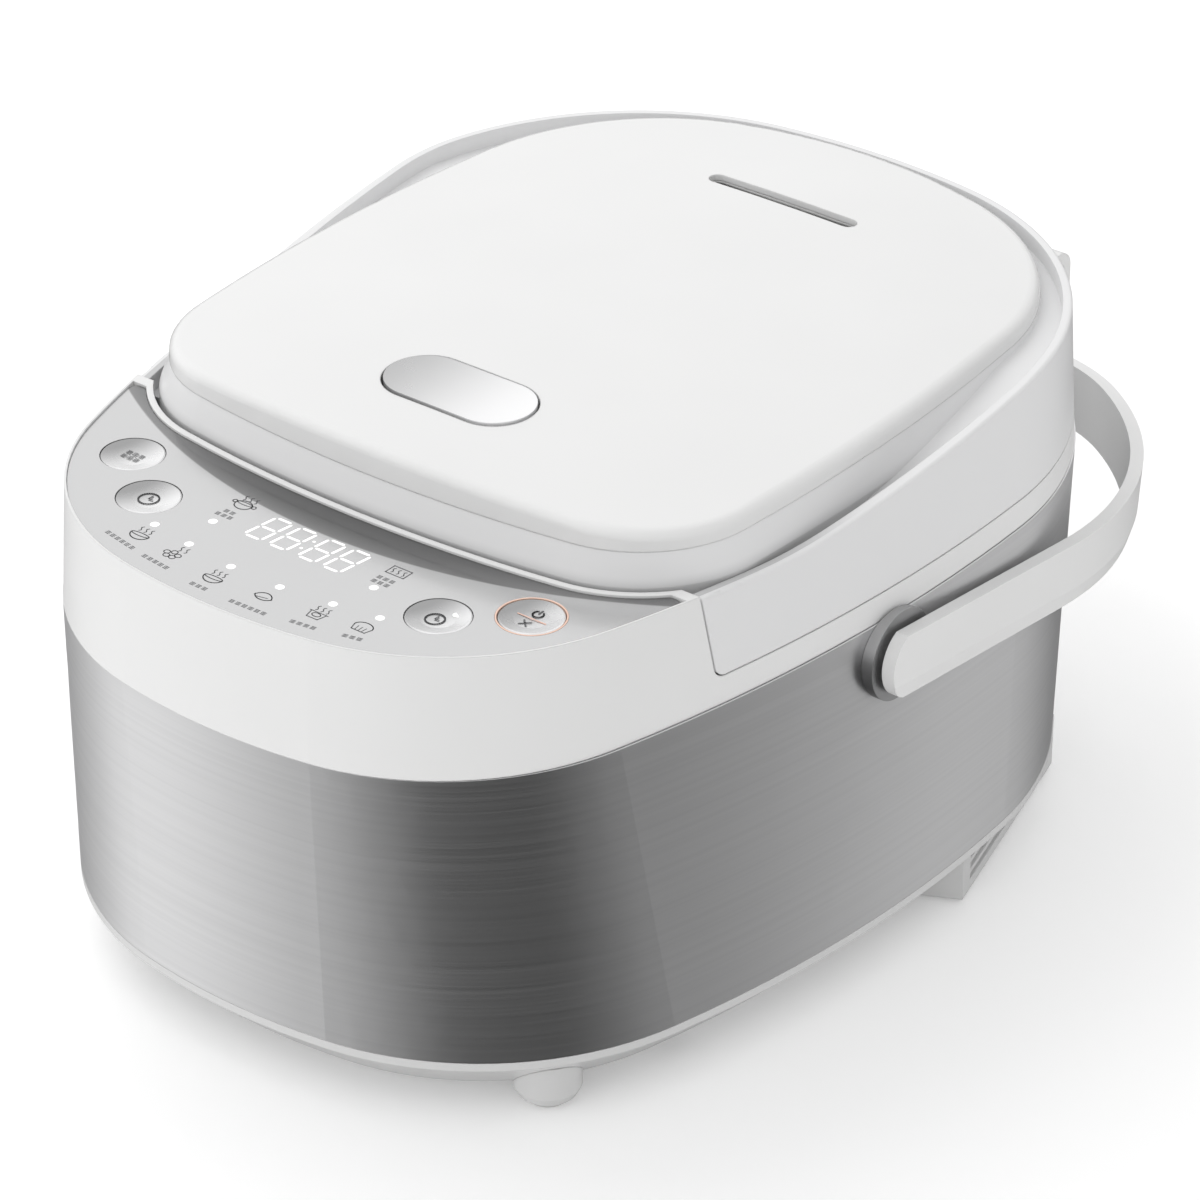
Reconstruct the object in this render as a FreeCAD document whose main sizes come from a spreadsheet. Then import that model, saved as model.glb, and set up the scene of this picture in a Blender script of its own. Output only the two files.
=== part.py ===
import FreeCAD, Part
import math
import os
import Sketcher
from FreeCAD import Placement, Rotation, Vector

doc = FreeCAD.newDocument("RiceCooker")
sheet = doc.addObject("Spreadsheet::Sheet", "Dims")

# Driving sizes in millimetres, name: value.  Plan outlines are eight tangent arcs:
# half width, where it is widest, side radius, front reach and radius, front corner,
# rear reach and radius, rear corner.
SIZES = {
    # body outline where the steel band ends at the top
    "body_half": 145.0, "body_wide_y": 46.8, "body_side_r": 618.0,
    "body_front": 207.5, "body_front_r": 236.0, "body_fcorner_r": 97.0,
    "body_rear": 178.0, "body_rear_r": 280.0, "body_rcorner_r": 120.0,
    # outline where the steel band meets the base
    "base_half": 146.7, "base_wide_y": 15.0, "base_side_r": 516.0,
    "base_front": 202.6, "base_front_r": 247.0, "base_fcorner_r": 110.0,
    "base_rear": 180.0, "base_rear_r": 1014.0, "base_rcorner_r": 135.0,
    # raised cover of the lid
    "cover_half": 124.2, "cover_wide_y": -5.0, "cover_side_r": 800.0,
    "cover_front": 122.0, "cover_front_r": 543.0, "cover_fcorner_r": 47.0,
    "cover_rear": 168.0, "cover_rear_r": 215.0, "cover_rcorner_r": 86.0,
    # heights above the surface that the feet stand on
    "bottom_z": 8.2, "taper_z": 22.8, "taper_in": 14.6, "steel_z": 26.1, "seam_z": 145.0,
    "strip": 10.2, "slope": 0.026, "deck_z": 156.5, "panel_z": 185.0, "edge_z": 185.8,
    "cover_z": 197.4, "crown_z": 209.8, "crown_side_r": 1380.0, "crown_long_r": 4000.0,
    "lean": 3.94, "lean_from_z": 136.0, "lean_to_z": 206.0,
    # walls and gaps
    "steel_t": 0.7, "wall": 2.6, "floor_t": 2.5, "gap": 0.6, "lid_gap": 1.5, "lip": 2.4,
    "land": 4.2, "overlay_t": 1.3, "overlay_in": 3.8, "cover_t": 2.6,
    # lid opening, hinge and latch
    "opening_out": 6.0, "seam_front_y": 101.0, "hinge_y": 180.0, "hinge_z": 176.0,
    "hinge_r": 7.0, "pin_r": 2.5, "knuckle_in": 50.0, "knuckle_out": 78.0, "lid_knuckle": 48.5,
    "button_y": -73.4, "button_half": 15.0, "button_r": 14.8, "button_gap": 0.9,
    "vent_y": 112.3, "vent_half": 29.4, "vent_r": 3.4,
    # pot, casing and heater
    "pot_y": 22.0, "pot_r": 109.5, "pot_t": 2.0, "pot_floor_z": 50.3, "pot_rim_r": 119.0,
    "pot_hole_r": 115.5, "casing_r": 117.0, "casing_z": 34.0, "plate_r": 88.0, "plate_z": 42.0,
    "plate_top_z": 50.2, "element_ring_r": 60.0, "element_r": 4.0, "sensor_r": 13.0,
    # control panel
    "key_r": 11.2, "key_gap": 0.3, "key1_x": 87.6, "key1_y": -144.1, "key2_x": 63.5,
    "key2_y": -162.6, "board_z": 165.0, "board_t": 1.6, "lamp_r": 1.6,
    # carrying handle
    "pivot_y": -15.0, "pivot_z": 130.0, "arm_t": 5.0, "arm_r": 13.8,
    "strap_half": 11.8, "strap_low": 13.2, "handle_drop": 6.2,
    "handle_half": 152.2, "handle_wide_y": 80.0, "handle_side_r": 160.0,
    "handle_front": 30.0, "handle_front_r": 600.0, "handle_fcorner_r": 60.0,
    "handle_rear": 225.0, "handle_rear_r": 600.0, "handle_rcorner_r": 75.0,
    "spigot_r": 6.0, "boss_r": 17.0,
    # feet and mains inlet
    "foot_x": 97.0, "foot_y": -149.0, "foot_r": 12.0, "pad_t": 1.2,
    "inlet_z": 62.0, "inlet_w": 46.0, "inlet_d": 26.0,
    # shift that brings the origin under the middle of the overall length
    "datum_y": -8.8,
}


OUTLINE_PARTS = ("half", "wide_y", "side_r", "front", "front_r", "fcorner_r", "rear", "rear_r",
                 "rcorner_r")


class Size:
    """A length that remembers how it was worked out from the sheet."""

    def __init__(self, value, text):
        self.value = float(value)
        self.text = text

    def _join(self, other, sign, swap=False):
        if not isinstance(other, Size):
            other = Size(other, repr(float(other)))
        left, right = (other, self) if swap else (self, other)
        results = {"+": left.value + right.value, "-": left.value - right.value,
                   "*": left.value * right.value}
        return Size(results[sign], "(%s %s %s)" % (left.text, sign, right.text))

    def __add__(self, other):
        return self._join(other, "+")

    def __radd__(self, other):
        return self._join(other, "+", True)

    def __sub__(self, other):
        return self._join(other, "-")

    def __rsub__(self, other):
        return self._join(other, "-", True)

    def __mul__(self, other):
        return self._join(other, "*")

    def __rmul__(self, other):
        return self._join(other, "*", True)

    def __neg__(self):
        return 0 - self


class Sizes:
    """One attribute per named cell of the sheet."""


d = Sizes()
for row, (alias, number) in enumerate(SIZES.items(), start=1):
    sheet.set("A%d" % row, alias.replace("_", " "))
    sheet.set("B%d" % row, str(number))
    sheet.setAlias("B%d" % row, alias)
    setattr(d, alias, Size(number, "Dims.%s" % alias))
doc.recompute()


def num(size):
    return size.value if isinstance(size, Size) else float(size)


def bind(obj, prop, size):
    """Set a property from the sheet, or as a plain number."""
    if isinstance(size, Size):
        obj.setExpression(prop, size.text)
    elif "." in prop:
        obj.setExpression(prop, repr(float(size)))
    else:
        setattr(obj, prop, size)


def place(obj, x=0, y=0, z=0, axis=None, angle=0):
    if axis is not None:
        obj.Placement = Placement(Vector(num(x), num(y), num(z)), Rotation(Vector(*axis), angle))
    for prop, size in (("x", x), ("y", y), ("z", z)):
        bind(obj, "Placement.Base." + prop, size)
    return obj


def tangent_centre(c1, r1, c2, r2, side):
    """Centre of the small arc lying inside and touching two larger arcs."""
    dx, dy = c2[0] - c1[0], c2[1] - c1[1]
    gap = math.hypot(dx, dy)
    along = (gap * gap + r1 * r1 - r2 * r2) / (2 * gap)
    across = math.sqrt(max(r1 * r1 - along * along, 0)) * side
    return (c1[0] + (dx * along - dy * across) / gap, c1[1] + (dy * along + dx * across) / gap)


def outline_arcs(family, inset):
    """Centres, radii and touching points of the right half of a plan outline."""
    o = num(inset)
    cell = {part: getattr(d, family + "_" + part).value for part in OUTLINE_PARTS}
    side_r, front_r, rear_r = cell["side_r"] - o, cell["front_r"] - o, cell["rear_r"] - o
    front_c = (0.0, cell["front_r"] - cell["front"])
    rear_c = (0.0, cell["rear"] - cell["rear_r"])
    side_c = (cell["half"] - cell["side_r"], cell["wide_y"])

    def corner(end_c, end_r, radius, way):
        found = [tangent_centre(end_c, end_r - radius, side_c, side_r - radius, side) for side in (1, -1)]
        return max(found, key=lambda c: c[0] + way * c[1])

    def touch(big_c, big_r, small_c):
        dx, dy = small_c[0] - big_c[0], small_c[1] - big_c[1]
        n = math.hypot(dx, dy)
        return (big_c[0] + dx / n * big_r, big_c[1] + dy / n * big_r)

    front_corner_r, rear_corner_r = cell["fcorner_r"] - o, cell["rcorner_r"] - o
    fc = corner(front_c, front_r, front_corner_r, -1)
    rc = corner(rear_c, rear_r, rear_corner_r, 1)
    points = [touch(front_c, front_r, fc), touch(side_c, side_r, fc),
              touch(side_c, side_r, rc), touch(rear_c, rear_r, rc)]
    circles = [(front_c, front_r), (fc, front_corner_r), (side_c, side_r), (rc, rear_corner_r),
               (rear_c, rear_r)]
    return circles, points


def arc(centre, radius, start, end):
    """Counter-clockwise arc from start to end."""
    a0 = math.atan2(start[1] - centre[1], start[0] - centre[0])
    a1 = math.atan2(end[1] - centre[1], end[0] - centre[0])
    if a1 < a0:
        a1 += 2 * math.pi
    return Part.ArcOfCircle(Part.Circle(Vector(centre[0], centre[1], 0), Vector(0, 0, 1), radius), a0, a1)


def outline(name, family, inset, z):
    """Closed plan outline of one family, held by tangencies and bound radii."""
    sketch = doc.addObject("Sketcher::SketchObject", name)
    circles, (p1, p2, p3, p4) = outline_arcs(family, inset)
    mirror = lambda p: (-p[0], p[1])
    ends = [(mirror(p1), p1), (p1, p2), (p2, p3), (p3, p4), (p4, mirror(p4)),
            (mirror(p4), mirror(p3)), (mirror(p3), mirror(p2)), (mirror(p2), mirror(p1))]
    order = [(0, False), (1, False), (2, False), (3, False), (4, False), (3, True), (2, True), (1, True)]
    arcs = []
    for (which, flipped), (start, end) in zip(order, ends):
        centre, radius = circles[which]
        arcs.append(arc(mirror(centre) if flipped else centre, radius, start, end))
    sketch.addGeometry(arcs, False)
    rules = [Sketcher.Constraint("Tangent", i, 2, (i + 1) % 8, 1) for i in range(8)]
    rules += [Sketcher.Constraint("Equal", i, 8 - i) for i in (1, 2, 3)]
    rules += [Sketcher.Constraint("PointOnObject", i, 3, -2) for i in (0, 4)]
    rules.append(Sketcher.Constraint("Symmetric", 2, 3, 6, 3, -2))
    sketch.addConstraint(rules)
    cell = {part: getattr(d, family + "_" + part) for part in OUTLINE_PARTS}
    driven = [("front_r", "Radius", (0,), cell["front_r"] - inset),
              ("fcorner_r", "Radius", (1,), cell["fcorner_r"] - inset),
              ("side_r", "Radius", (2,), cell["side_r"] - inset),
              ("rcorner_r", "Radius", (3,), cell["rcorner_r"] - inset),
              ("rear_r", "Radius", (4,), cell["rear_r"] - inset),
              ("front_y", "DistanceY", (-1, 1, 0, 3), cell["front_r"] - cell["front"]),
              ("rear_y", "DistanceY", (-1, 1, 4, 3), cell["rear"] - cell["rear_r"]),
              ("side_x", "DistanceX", (-1, 1, 2, 3), cell["half"] - cell["side_r"]),
              ("side_y", "DistanceY", (-1, 1, 2, 3), cell["wide_y"])]
    for title, kind, where, size in driven:
        drive(sketch, title, Sketcher.Constraint(kind, *where, size.value), size)
    bind(sketch, "Placement.Base.z", z)
    return sketch


def drive(sketch, title, rule, size):
    """Add a dimension to a sketch and bind it to the sheet."""
    sketch.renameConstraint(sketch.addConstraint(rule), title)
    if isinstance(size, Size):
        sketch.setExpression("Constraints." + title, size.text)


SIDE = Rotation(Vector(1, 1, 1), 120)
FRONT = Rotation(Vector(1, 0, 0), 90)


def polygon(name, points, turn=None, x=0, y=0, z=0):
    """Closed polygon whose corners are all dimensioned from the origin."""
    sketch = doc.addObject("Sketcher::SketchObject", name)
    lines = []
    for i, (u, v) in enumerate(points):
        p, q = points[i - 1], (u, v)
        lines.append(Part.LineSegment(Vector(num(p[0]), num(p[1]), 0), Vector(num(q[0]), num(q[1]), 0)))
    sketch.addGeometry(lines, False)
    count = len(points)
    sketch.addConstraint([Sketcher.Constraint("Coincident", i, 2, (i + 1) % count,
                                              1) for i in range(count)])
    for i, (u, v) in enumerate(points):
        for title, kind, size, axis in (("u%d" % i, "DistanceX", u, -2), ("v%d" % i, "DistanceY", v, -1)):
            if abs(num(size)) < 1e-9:
                sketch.addConstraint(Sketcher.Constraint("PointOnObject", i, 2, axis))
            else:
                drive(sketch, title, Sketcher.Constraint(kind, -1, 1, i, 2, num(size)), size)
    if turn is not None:
        sketch.Placement = Placement(Vector(num(x), num(y), num(z)), turn)
    for prop, size in (("x", x), ("y", y), ("z", z)):
        bind(sketch, "Placement.Base." + prop, size)
    return sketch


def extrude(name, sketch, length, symmetric=False):
    solid = doc.addObject("Part::Extrusion", name)
    solid.Base = sketch
    solid.DirMode = "Normal"
    solid.Solid = True
    solid.Symmetric = symmetric
    bind(solid, "LengthFwd", length)
    return solid


def prism(name, family, inset, z0, z1):
    """Plan outline pulled straight up from z0 to z1."""
    return extrude(name, outline(name + "Plan", family, inset, z0), z1 - z0)


def loft(name, lower, upper):
    """Solid between two plan outlines, each given as family, inset, height."""
    solid = doc.addObject("Part::Loft", name)
    solid.Sections = [outline(name + "Low", *lower), outline(name + "High", *upper)]
    solid.Solid = True
    solid.Ruled = True
    return solid


def cylinder(name, r, length, x=0, y=0, z=0, axis=None, angle=0):
    solid = doc.addObject("Part::Cylinder", name)
    bind(solid, "Radius", r)
    bind(solid, "Height", length)
    return place(solid, x, y, z, axis, angle)


def box(name, x0, x1, y0, y1, z0, z1):
    solid = doc.addObject("Part::Box", name)
    bind(solid, "Length", x1 - x0)
    bind(solid, "Width", y1 - y0)
    bind(solid, "Height", z1 - z0)
    return place(solid, x0, y0, z0)


def cut(name, base, tool):
    result = doc.addObject("Part::Cut", name)
    result.Base, result.Tool = base, tool
    return result


def common(name, *parts):
    result = doc.addObject("Part::MultiCommon", name)
    result.Shapes = list(parts)
    return result


def fuse(name, *parts):
    result = doc.addObject("Part::MultiFuse", name)
    result.Shapes = list(parts)
    return result


def cut_all(name, base, *tools):
    return cut(name, base, fuse(name + "Tools", *tools) if len(tools) > 1 else tools[0])


def keep(name, shape):
    """Plain feature for a set of loose solids that share one node."""
    feature = doc.addObject("Part::Feature", name)
    feature.Shape = shape
    return feature


def rounded(name, base, radius, test):
    """Fillet the edges of base that the test picks."""
    doc.recompute()
    picked = [(i, num(radius), num(radius)) for i, e in enumerate(base.Shape.Edges, start=1) if test(e)]
    result = doc.addObject("Part::Fillet", name)
    result.Base = base
    result.Edges = picked
    doc.recompute()
    if not picked or result.Shape.isNull() or not result.Shape.isValid():
        raise RuntimeError("fillet %s failed on %d edges" % (name, len(picked)))
    return result


def at(edge, **where):
    """True if the middle of an edge is near the given x, y or z."""
    middle = edge.valueAt((edge.FirstParameter + edge.LastParameter) / 2)
    return all(abs(getattr(middle, axis) - num(size)) < 0.02 for axis, size in where.items())


def turned(name, points, y=0, x=0):
    """PartDesign body turned about a vertical line from a profile of radius and height."""
    body = doc.addObject("PartDesign::Body", name)
    sketch = body.newObject("Sketcher::SketchObject", name + "Profile")
    plane = [f for f in body.Origin.OriginFeatures if f.Role == "XZ_Plane"][0]
    sketch.AttachmentSupport = [(plane, "")]
    sketch.MapMode = "FlatFace"
    lines = []
    count = len(points)
    for i, (u, v) in enumerate(points):
        p = points[i - 1]
        lines.append(Part.LineSegment(Vector(num(p[0]), num(p[1]), 0), Vector(num(u), num(v), 0)))
    sketch.addGeometry(lines, False)
    sketch.addConstraint([Sketcher.Constraint("Coincident", i, 2, (i + 1) % count,
                                              1) for i in range(count)])
    for i, (u, v) in enumerate(points):
        for title, kind, size, axis in (("u%d" % i, "DistanceX", u, -2), ("v%d" % i, "DistanceY", v, -1)):
            if abs(num(size)) < 1e-9:
                sketch.addConstraint(Sketcher.Constraint("PointOnObject", i, 2, axis))
            else:
                drive(sketch, title, Sketcher.Constraint(kind, -1, 1, i, 2, num(size)), size)
    turn = body.newObject("PartDesign::Revolution", name + "Turn")
    turn.Profile = sketch
    turn.ReferenceAxis = (sketch, ["V_Axis"])
    turn.Angle = 360
    place(body, x, y, 0)
    return body


NODES = []


def node(obj, label):
    obj.Label = label
    NODES.append(obj)
    return obj


# ---------------------------------------------------------------- base
base_outer = fuse("BaseOuter",
                  loft("BaseTaper", ("base", d.taper_in, d.bottom_z), ("base", 0, d.taper_z)),
                  prism("BaseRim", "base", 0, d.taper_z, d.steel_z - 0.1))
base_lip = prism("BaseLip", "base", 1.2, d.taper_z, d.steel_z + 6)
base_hollow = fuse("BaseHollow",
                   loft("BaseHollowTaper", ("base", d.taper_in + d.floor_t, d.bottom_z + d.floor_t),
                        ("base", 3, d.taper_z)),
                   prism("BaseHollowRim", "base", 3, d.taper_z, d.steel_z + 10))
POSTS = [(112, -100), (-112, -100), (92, 112), (-92, 112)]
BOARD_POSTS = [(-50, -172), (50, -172), (-50, -122), (50, -122)]
post_solids = [cylinder("BasePost%d" % i, 5.5, 60 - d.bottom_z - 1, x, y, d.bottom_z + 1)
               for i, (x, y) in enumerate(POSTS)]
post_solids += [cylinder("BoardPost%d" % i, 4, 39.9 - d.bottom_z - 1, x, y, d.bottom_z + 1)
                for i, (x, y) in enumerate(BOARD_POSTS)]
post_holes = [cylinder("BaseBore%d" % i, 2.2, 80, x, y, 0) for i, (x, y) in enumerate(POSTS)]
post_holes += [cylinder("BaseCounterbore%d" % i, 4.3, 52, x, y, 0) for i, (x, y) in enumerate(POSTS)]
post_holes += [cylinder("BoardBore%d" % i, 1.3, 20, x, y, 24) for i, (x, y) in enumerate(BOARD_POSTS)]
slots = []
for i in range(9):
    slots.append(box("BaseVent%d" % i, -30, 30, d.pot_y - 61.5 + 15 * i, d.pot_y - 58.5 + 15 * i, 0, 15))
base_tray = cut("BaseTray", fuse("BaseSolid", base_outer, base_lip), base_hollow)
base = cut_all("BaseShell", fuse("BaseWithPosts", base_tray, *post_solids), *(post_holes + slots))
node(base, "base_shell")
doc.recompute()

# ---------------------------------------------------------------- feet
PADS = []
for side, name in ((1, "right"), (-1, "left")):
    dome = turned("FrontFoot" + name.title(),
                  [(0, d.pad_t), (d.foot_r - 4, d.pad_t), (d.foot_r - 1.6, d.pad_t + 1.4),
                   (d.foot_r, d.pad_t + 4.5), (d.foot_r, d.taper_z - 4), (0, d.taper_z - 4)],
                  d.foot_y, d.foot_x * side)
    node(cut_all("FrontFootCut" + name.title(), dome, base_outer), "front_foot_" + name)
    PADS.append(cylinder("FrontPad" + name.title(), d.foot_r - 4.5, d.pad_t, d.foot_x * side, d.foot_y, 0))

WEDGE = [(128.5, 27.0), (142.5, 34.0), (117.0, 130.0), (103.0, 124.0)]
for side, name in ((1, "right"), (-1, "left")):
    corners = [(x * side, y) for x, y in WEDGE]
    corners = corners if side > 0 else corners[::-1]
    block = extrude("RearFoot%sBlock" % name.title(),
                    polygon("RearFoot%sPlan" % name.title(), corners, z=d.pad_t), d.taper_z - d.pad_t)
    lean = math.degrees(math.atan2(WEDGE[1][0] - WEDGE[2][0], WEDGE[2][1] - WEDGE[1][1]))
    louvres = []
    for i in range(3):
        slot = doc.addObject("Part::Box", "Louvre%s%d" % (name.title(), i))
        slot.Length, slot.Width, slot.Height = 5.0, 62.0, 2.6
        turn = Rotation(Vector(0, 0, 1), lean * side)
        start = Vector(WEDGE[1][0] * side, WEDGE[1][1], 5.2 + 4.6 * i)
        slot.Placement = Placement(start, turn).multiply(Placement(Vector(-2.5, 8, 0), Rotation()))
        louvres.append(slot)
    node(cut_all("RearFoot" + name.title(), block, base_outer, *louvres), "rear_foot_" + name)
    PADS.append(extrude("RearPad%s" % name.title(),
                        polygon("RearPad%sPlan" % name.title(),
                                [(x * side, y) for x, y in ((129.5, 36), (136, 40), (126, 78),
                                                            (119.5, 75))][::side]),
                        d.pad_t))
node(fuse("FootPads", *PADS), "foot_pads")

# ---------------------------------------------------------------- steel band
band_outer = loft("BandOuter", ("base", 0, d.steel_z), ("body", 0, 152.0))
band_inner = loft("BandInner", ("base", d.steel_t, d.steel_z), ("body", d.steel_t, 152.0))
above_seam = extrude("AboveSeam",
                     polygon("AboveSeamSide",
                             [(-230, d.seam_z - 230 * d.slope), (230, d.seam_z + 230 * d.slope),
                              (230, 320), (-230, 320)], SIDE), 400, True)
pivot_bore = cylinder("BandPivotBore", d.spigot_r + 4.2, 400, -200, d.pivot_y, d.pivot_z, (0, 1, 0), 90)
inlet_hole = box("BandInletHole", -24, 24, 170, 190, d.inlet_z - 14, d.inlet_z + 14)
band = cut_all("SteelBand", band_outer, band_inner, above_seam, pivot_bore, inlet_hole)
node(band, "steel_band")

# ---------------------------------------------------------------- upper housing
block_outer = loft("UpperBlock", ("body", 0, d.lean_from_z), ("body", d.lean, d.lean_to_z))
strip_z = d.seam_z + d.strip
side_cut_y = -d.seam_front_y
housing_side = extrude(
    "HousingSide",
    polygon("HousingSidePlan",
            [(-230, d.seam_z + 0.2 - 230 * d.slope), (230, d.seam_z + 0.2 + 230 * d.slope),
             (230, strip_z + 230 * d.slope), (side_cut_y + 4.6, strip_z - 96 * d.slope),
             (side_cut_y - 0.6, d.edge_z), (-230, d.edge_z)], SIDE), 400, True)
housing_side = rounded("HousingSideRound", housing_side, 4.5,
                       lambda e: at(e, y=side_cut_y + 4.6, x=0))
wall_part = common("HousingWall", block_outer, housing_side)
platform = prism("DeckPlatform", "body", 6.2, 150, d.deck_z)
skirt = cut("HousingSkirt", loft("SkirtOut", ("base", 1.1, d.steel_z), ("body", 1.1, 152.0)),
            loft("SkirtIn", ("base", 3.3, d.steel_z), ("body", 3.3, 152.0)))
skirt_trim = common("HousingSkirtTrim", skirt, box("SkirtZoneZ", -200, 200, -230, 230, 118, 147))
skirt_bore = cylinder("HousingPivotBore", d.spigot_r + 4.2, 400, -200, d.pivot_y, d.pivot_z, (0, 1, 0), 90)
above_deck = prism("AboveDeck", "body", 3.4, d.deck_z, 240)
rear_half = box("RearHalf", -200, 200, -96, 230, 100, 260)
over_deck = common("OverDeck", above_deck, rear_half)
lid_opening = prism("LidOpening", "cover", -d.opening_out, d.deck_z, 240)
under_deck = prism("UnderDeck", "body", 3.4, 100, d.deck_z - 2.5)
panel_under = cut("PanelUnderRing", prism("PanelUnderOut", "body", 5.6, 150, 181.5),
                  prism("PanelUnderIn", "cover", -d.opening_out - 2.4, 140, 200))
panel_under = common("PanelUnder", panel_under, box("FrontZone", -200, 200, -230, -105.5, 100, 260))
recess = common("PanelRecess",
                cut("PanelRecessRing", prism("PanelRecessOut", "body", d.overlay_in - 0.15, 183.6, 200),
                    prism("PanelRecessIn", "cover", -d.opening_out - d.lip, 170, 220)),
                box("PanelZone", -200, 200, -230, -106.2, 100, 260))
KEYS = [("menu", -1, 1), ("time", -1, 2), ("booking", 1, 2), ("start", 1, 1)]


def key_spot(side, which):
    return (d.key1_x * side, d.key1_y) if which == 1 else (d.key2_x * side, d.key2_y)


key_holes = []
for name, side, which in KEYS:
    x, y = key_spot(side, which)
    key_holes.append(cylinder("KeyHole" + name, d.key_r + d.key_gap, 30, x, y, 175))
ring_x, ring_y = key_spot(1, 1)
key_holes.append(cylinder("RingSeat", d.key_r + 1.0, 10, ring_x, ring_y, 182))
LAMPS = [(35.3, -161.7), (49.3, -175.2), (31.5, -177.9), (10.7, -180.4)]
LAMPS = LAMPS + [(-x, y) for x, y in LAMPS]
lamp_holes = [cylinder("LampHole%d" % i, d.lamp_r + 0.3, 30, x, y, 175) for i, (x, y) in enumerate(LAMPS)]
window = box("DisplayWindow", -25, 25, -164.5, -144.5, 175, 190)
pot_hole = cylinder("PotHole", d.pot_hole_r, 60, 0, d.pot_y, 130)
sleeve = cut("PotSleeve", cylinder("PotSleeveOut", d.pot_hole_r + 4.5, 12, 0, d.pot_y, d.deck_z - 14),
             cylinder("PotSleeveIn", d.pot_hole_r, 40, 0, d.pot_y, 130))
posts = [cylinder("HousingPost%d" % i, 4.5, d.deck_z - 2 - 60.4, x, y, 60.4) for i,
         (x, y) in enumerate(POSTS)]
pilots = [cylinder("HousingPilot%d" % i, 1.55, 20, x, y, 60) for i, (x, y) in enumerate(POSTS)]
BOARD_FIX = [(-100, -122), (-30, -190), (30, -190), (100, -122)]
stubs = [cylinder("PanelPost%d" % i, 3, 182.5 - 166.8, x, y, 166.8) for i, (x, y) in enumerate(BOARD_FIX)]
stub_pilots = [cylinder("PanelPilot%d" % i, 1.0, 15, x, y, 160) for i, (x, y) in enumerate(BOARD_FIX)]
latch_slot = box("LatchSlot", -9, 9, -131, -126, 171.5, 180.0)
hinge_z_low = 150.8
knuckles = []
for side in (1, -1):
    x0, x1 = (d.knuckle_in, d.knuckle_out) if side > 0 else (-d.knuckle_out, -d.knuckle_in)
    knuckles.append(box("KnuckleBlock%d" % (side + 1), x0, x1, d.hinge_y - 9, d.hinge_y + 7, hinge_z_low,
                        d.hinge_z))
    knuckles.append(cylinder("Knuckle%d" % (side + 1), d.hinge_r, d.knuckle_out - d.knuckle_in,
                             x0, d.hinge_y, d.hinge_z, (0, 1, 0), 90))
hinge_bore = cylinder("HingeBore", d.pin_r + 0.1, 300, -150, d.hinge_y, d.hinge_z, (0, 1, 0), 90)
housing_solid = fuse("HousingSolid", wall_part, platform, skirt_trim)
housing_open = cut_all("HousingOpen", housing_solid, over_deck, lid_opening, under_deck, panel_under,
                       recess)
housing_parts = fuse("HousingParts", housing_open, sleeve, *(posts + stubs + knuckles))
housing = cut_all("UpperHousing", housing_parts, window, pot_hole, latch_slot, hinge_bore, skirt_bore,
                  *(key_holes + lamp_holes + pilots + stub_pilots))
node(housing, "upper_housing")
doc.recompute()

# ---------------------------------------------------------------- control panel
overlay_ring = cut("OverlayRing", prism("OverlayOut", "body", d.overlay_in, d.panel_z - d.overlay_t,
                                        d.panel_z),
                   prism("OverlayIn", "cover", -d.opening_out - d.lip - 0.2, 170, 220))
overlay_blank = common("OverlayBlank", overlay_ring, box("OverlayZone", -200, 200, -230, -106.5, 100, 260))
overlay_blank = rounded("OverlayCorners", overlay_blank, 3.0,
                        lambda e: abs(e.Length - num(d.overlay_t)) < 0.01
                        and abs(e.Vertexes[0].X) > 110 and e.Vertexes[0].Y > -107)
overlay_holes = [cylinder("OverlayHole" + name, d.key_r + d.key_gap, 10, *key_spot(side, which), 180)
                 for name, side, which in KEYS]
overlay_holes.append(cylinder("OverlayRingHole", d.key_r + 1.0, 10, ring_x, ring_y, 180))
node(cut_all("PanelOverlay", overlay_blank, *overlay_holes), "panel_overlay")

for name, side, which in KEYS:
    x, y = key_spot(side, which)
    cap = turned("Key" + name.title(),
                 [(0, 183.9), (6.0, 184.15), (d.key_r - 1.2, d.panel_z - 0.05),
                  (d.key_r - 0.5, d.panel_z + 0.1),
                  (d.key_r, d.panel_z - 0.2), (d.key_r, 181.2), (d.key_r + 1.6, 181.2), (d.key_r + 1.6,
                                                                                         179.6),
                  (3.0, 179.6), (3.0, 172.9), (0, 172.9)], y, x)
    node(cap, "key_" + name)
ring = turned("StartRing", [(d.key_r + 0.32, 182.05), (d.key_r + 0.9, 182.05),
                            (d.key_r + 0.9, d.panel_z + 0.05),
                            (d.key_r + 0.32, d.panel_z + 0.05)], ring_y, ring_x)
node(ring, "start_key_ring")

board_ring = cut("BoardRing", prism("BoardOut", "body", 9.5, d.board_z, d.board_z + d.board_t),
                 prism("BoardIn", "cover", -d.opening_out - 4.6, 140, 220))
board = common("BoardBlank", board_ring, box("BoardZone", -110, 110, -230, -113, 100, 260))
board_bores = [cylinder("BoardBoreFix%d" % i, 1.6, 10, x, y, 160) for i, (x, y) in enumerate(BOARD_FIX)]
node(cut_all("ControlBoard", board, *board_bores), "control_board")
switches = []
for name, side, which in KEYS:
    x, y = key_spot(side, which)
    top = d.board_z + d.board_t
    switches.append(box("Switch" + name, x - 3, x + 3, y - 3, y + 3, top + 0.02, top + 3.6))
    switches.append(cylinder("SwitchStem" + name, 1.7, 2.4, x, y, d.board_z + d.board_t + 3.2))
node(fuse("TactSwitches", *switches), "tact_switches")
lamps = [cylinder("Lamp%d" % i, d.lamp_r, 183.5 - 166.62, x, y, 166.62) for i, (x, y) in enumerate(LAMPS)]
node(fuse("IndicatorLights", *lamps), "indicator_lights")
node(box("DisplayModule", -23.5, 23.5, -163.5, -145.5, d.board_z + d.board_t + 0.02, 183.5),
     "display_module")


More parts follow.
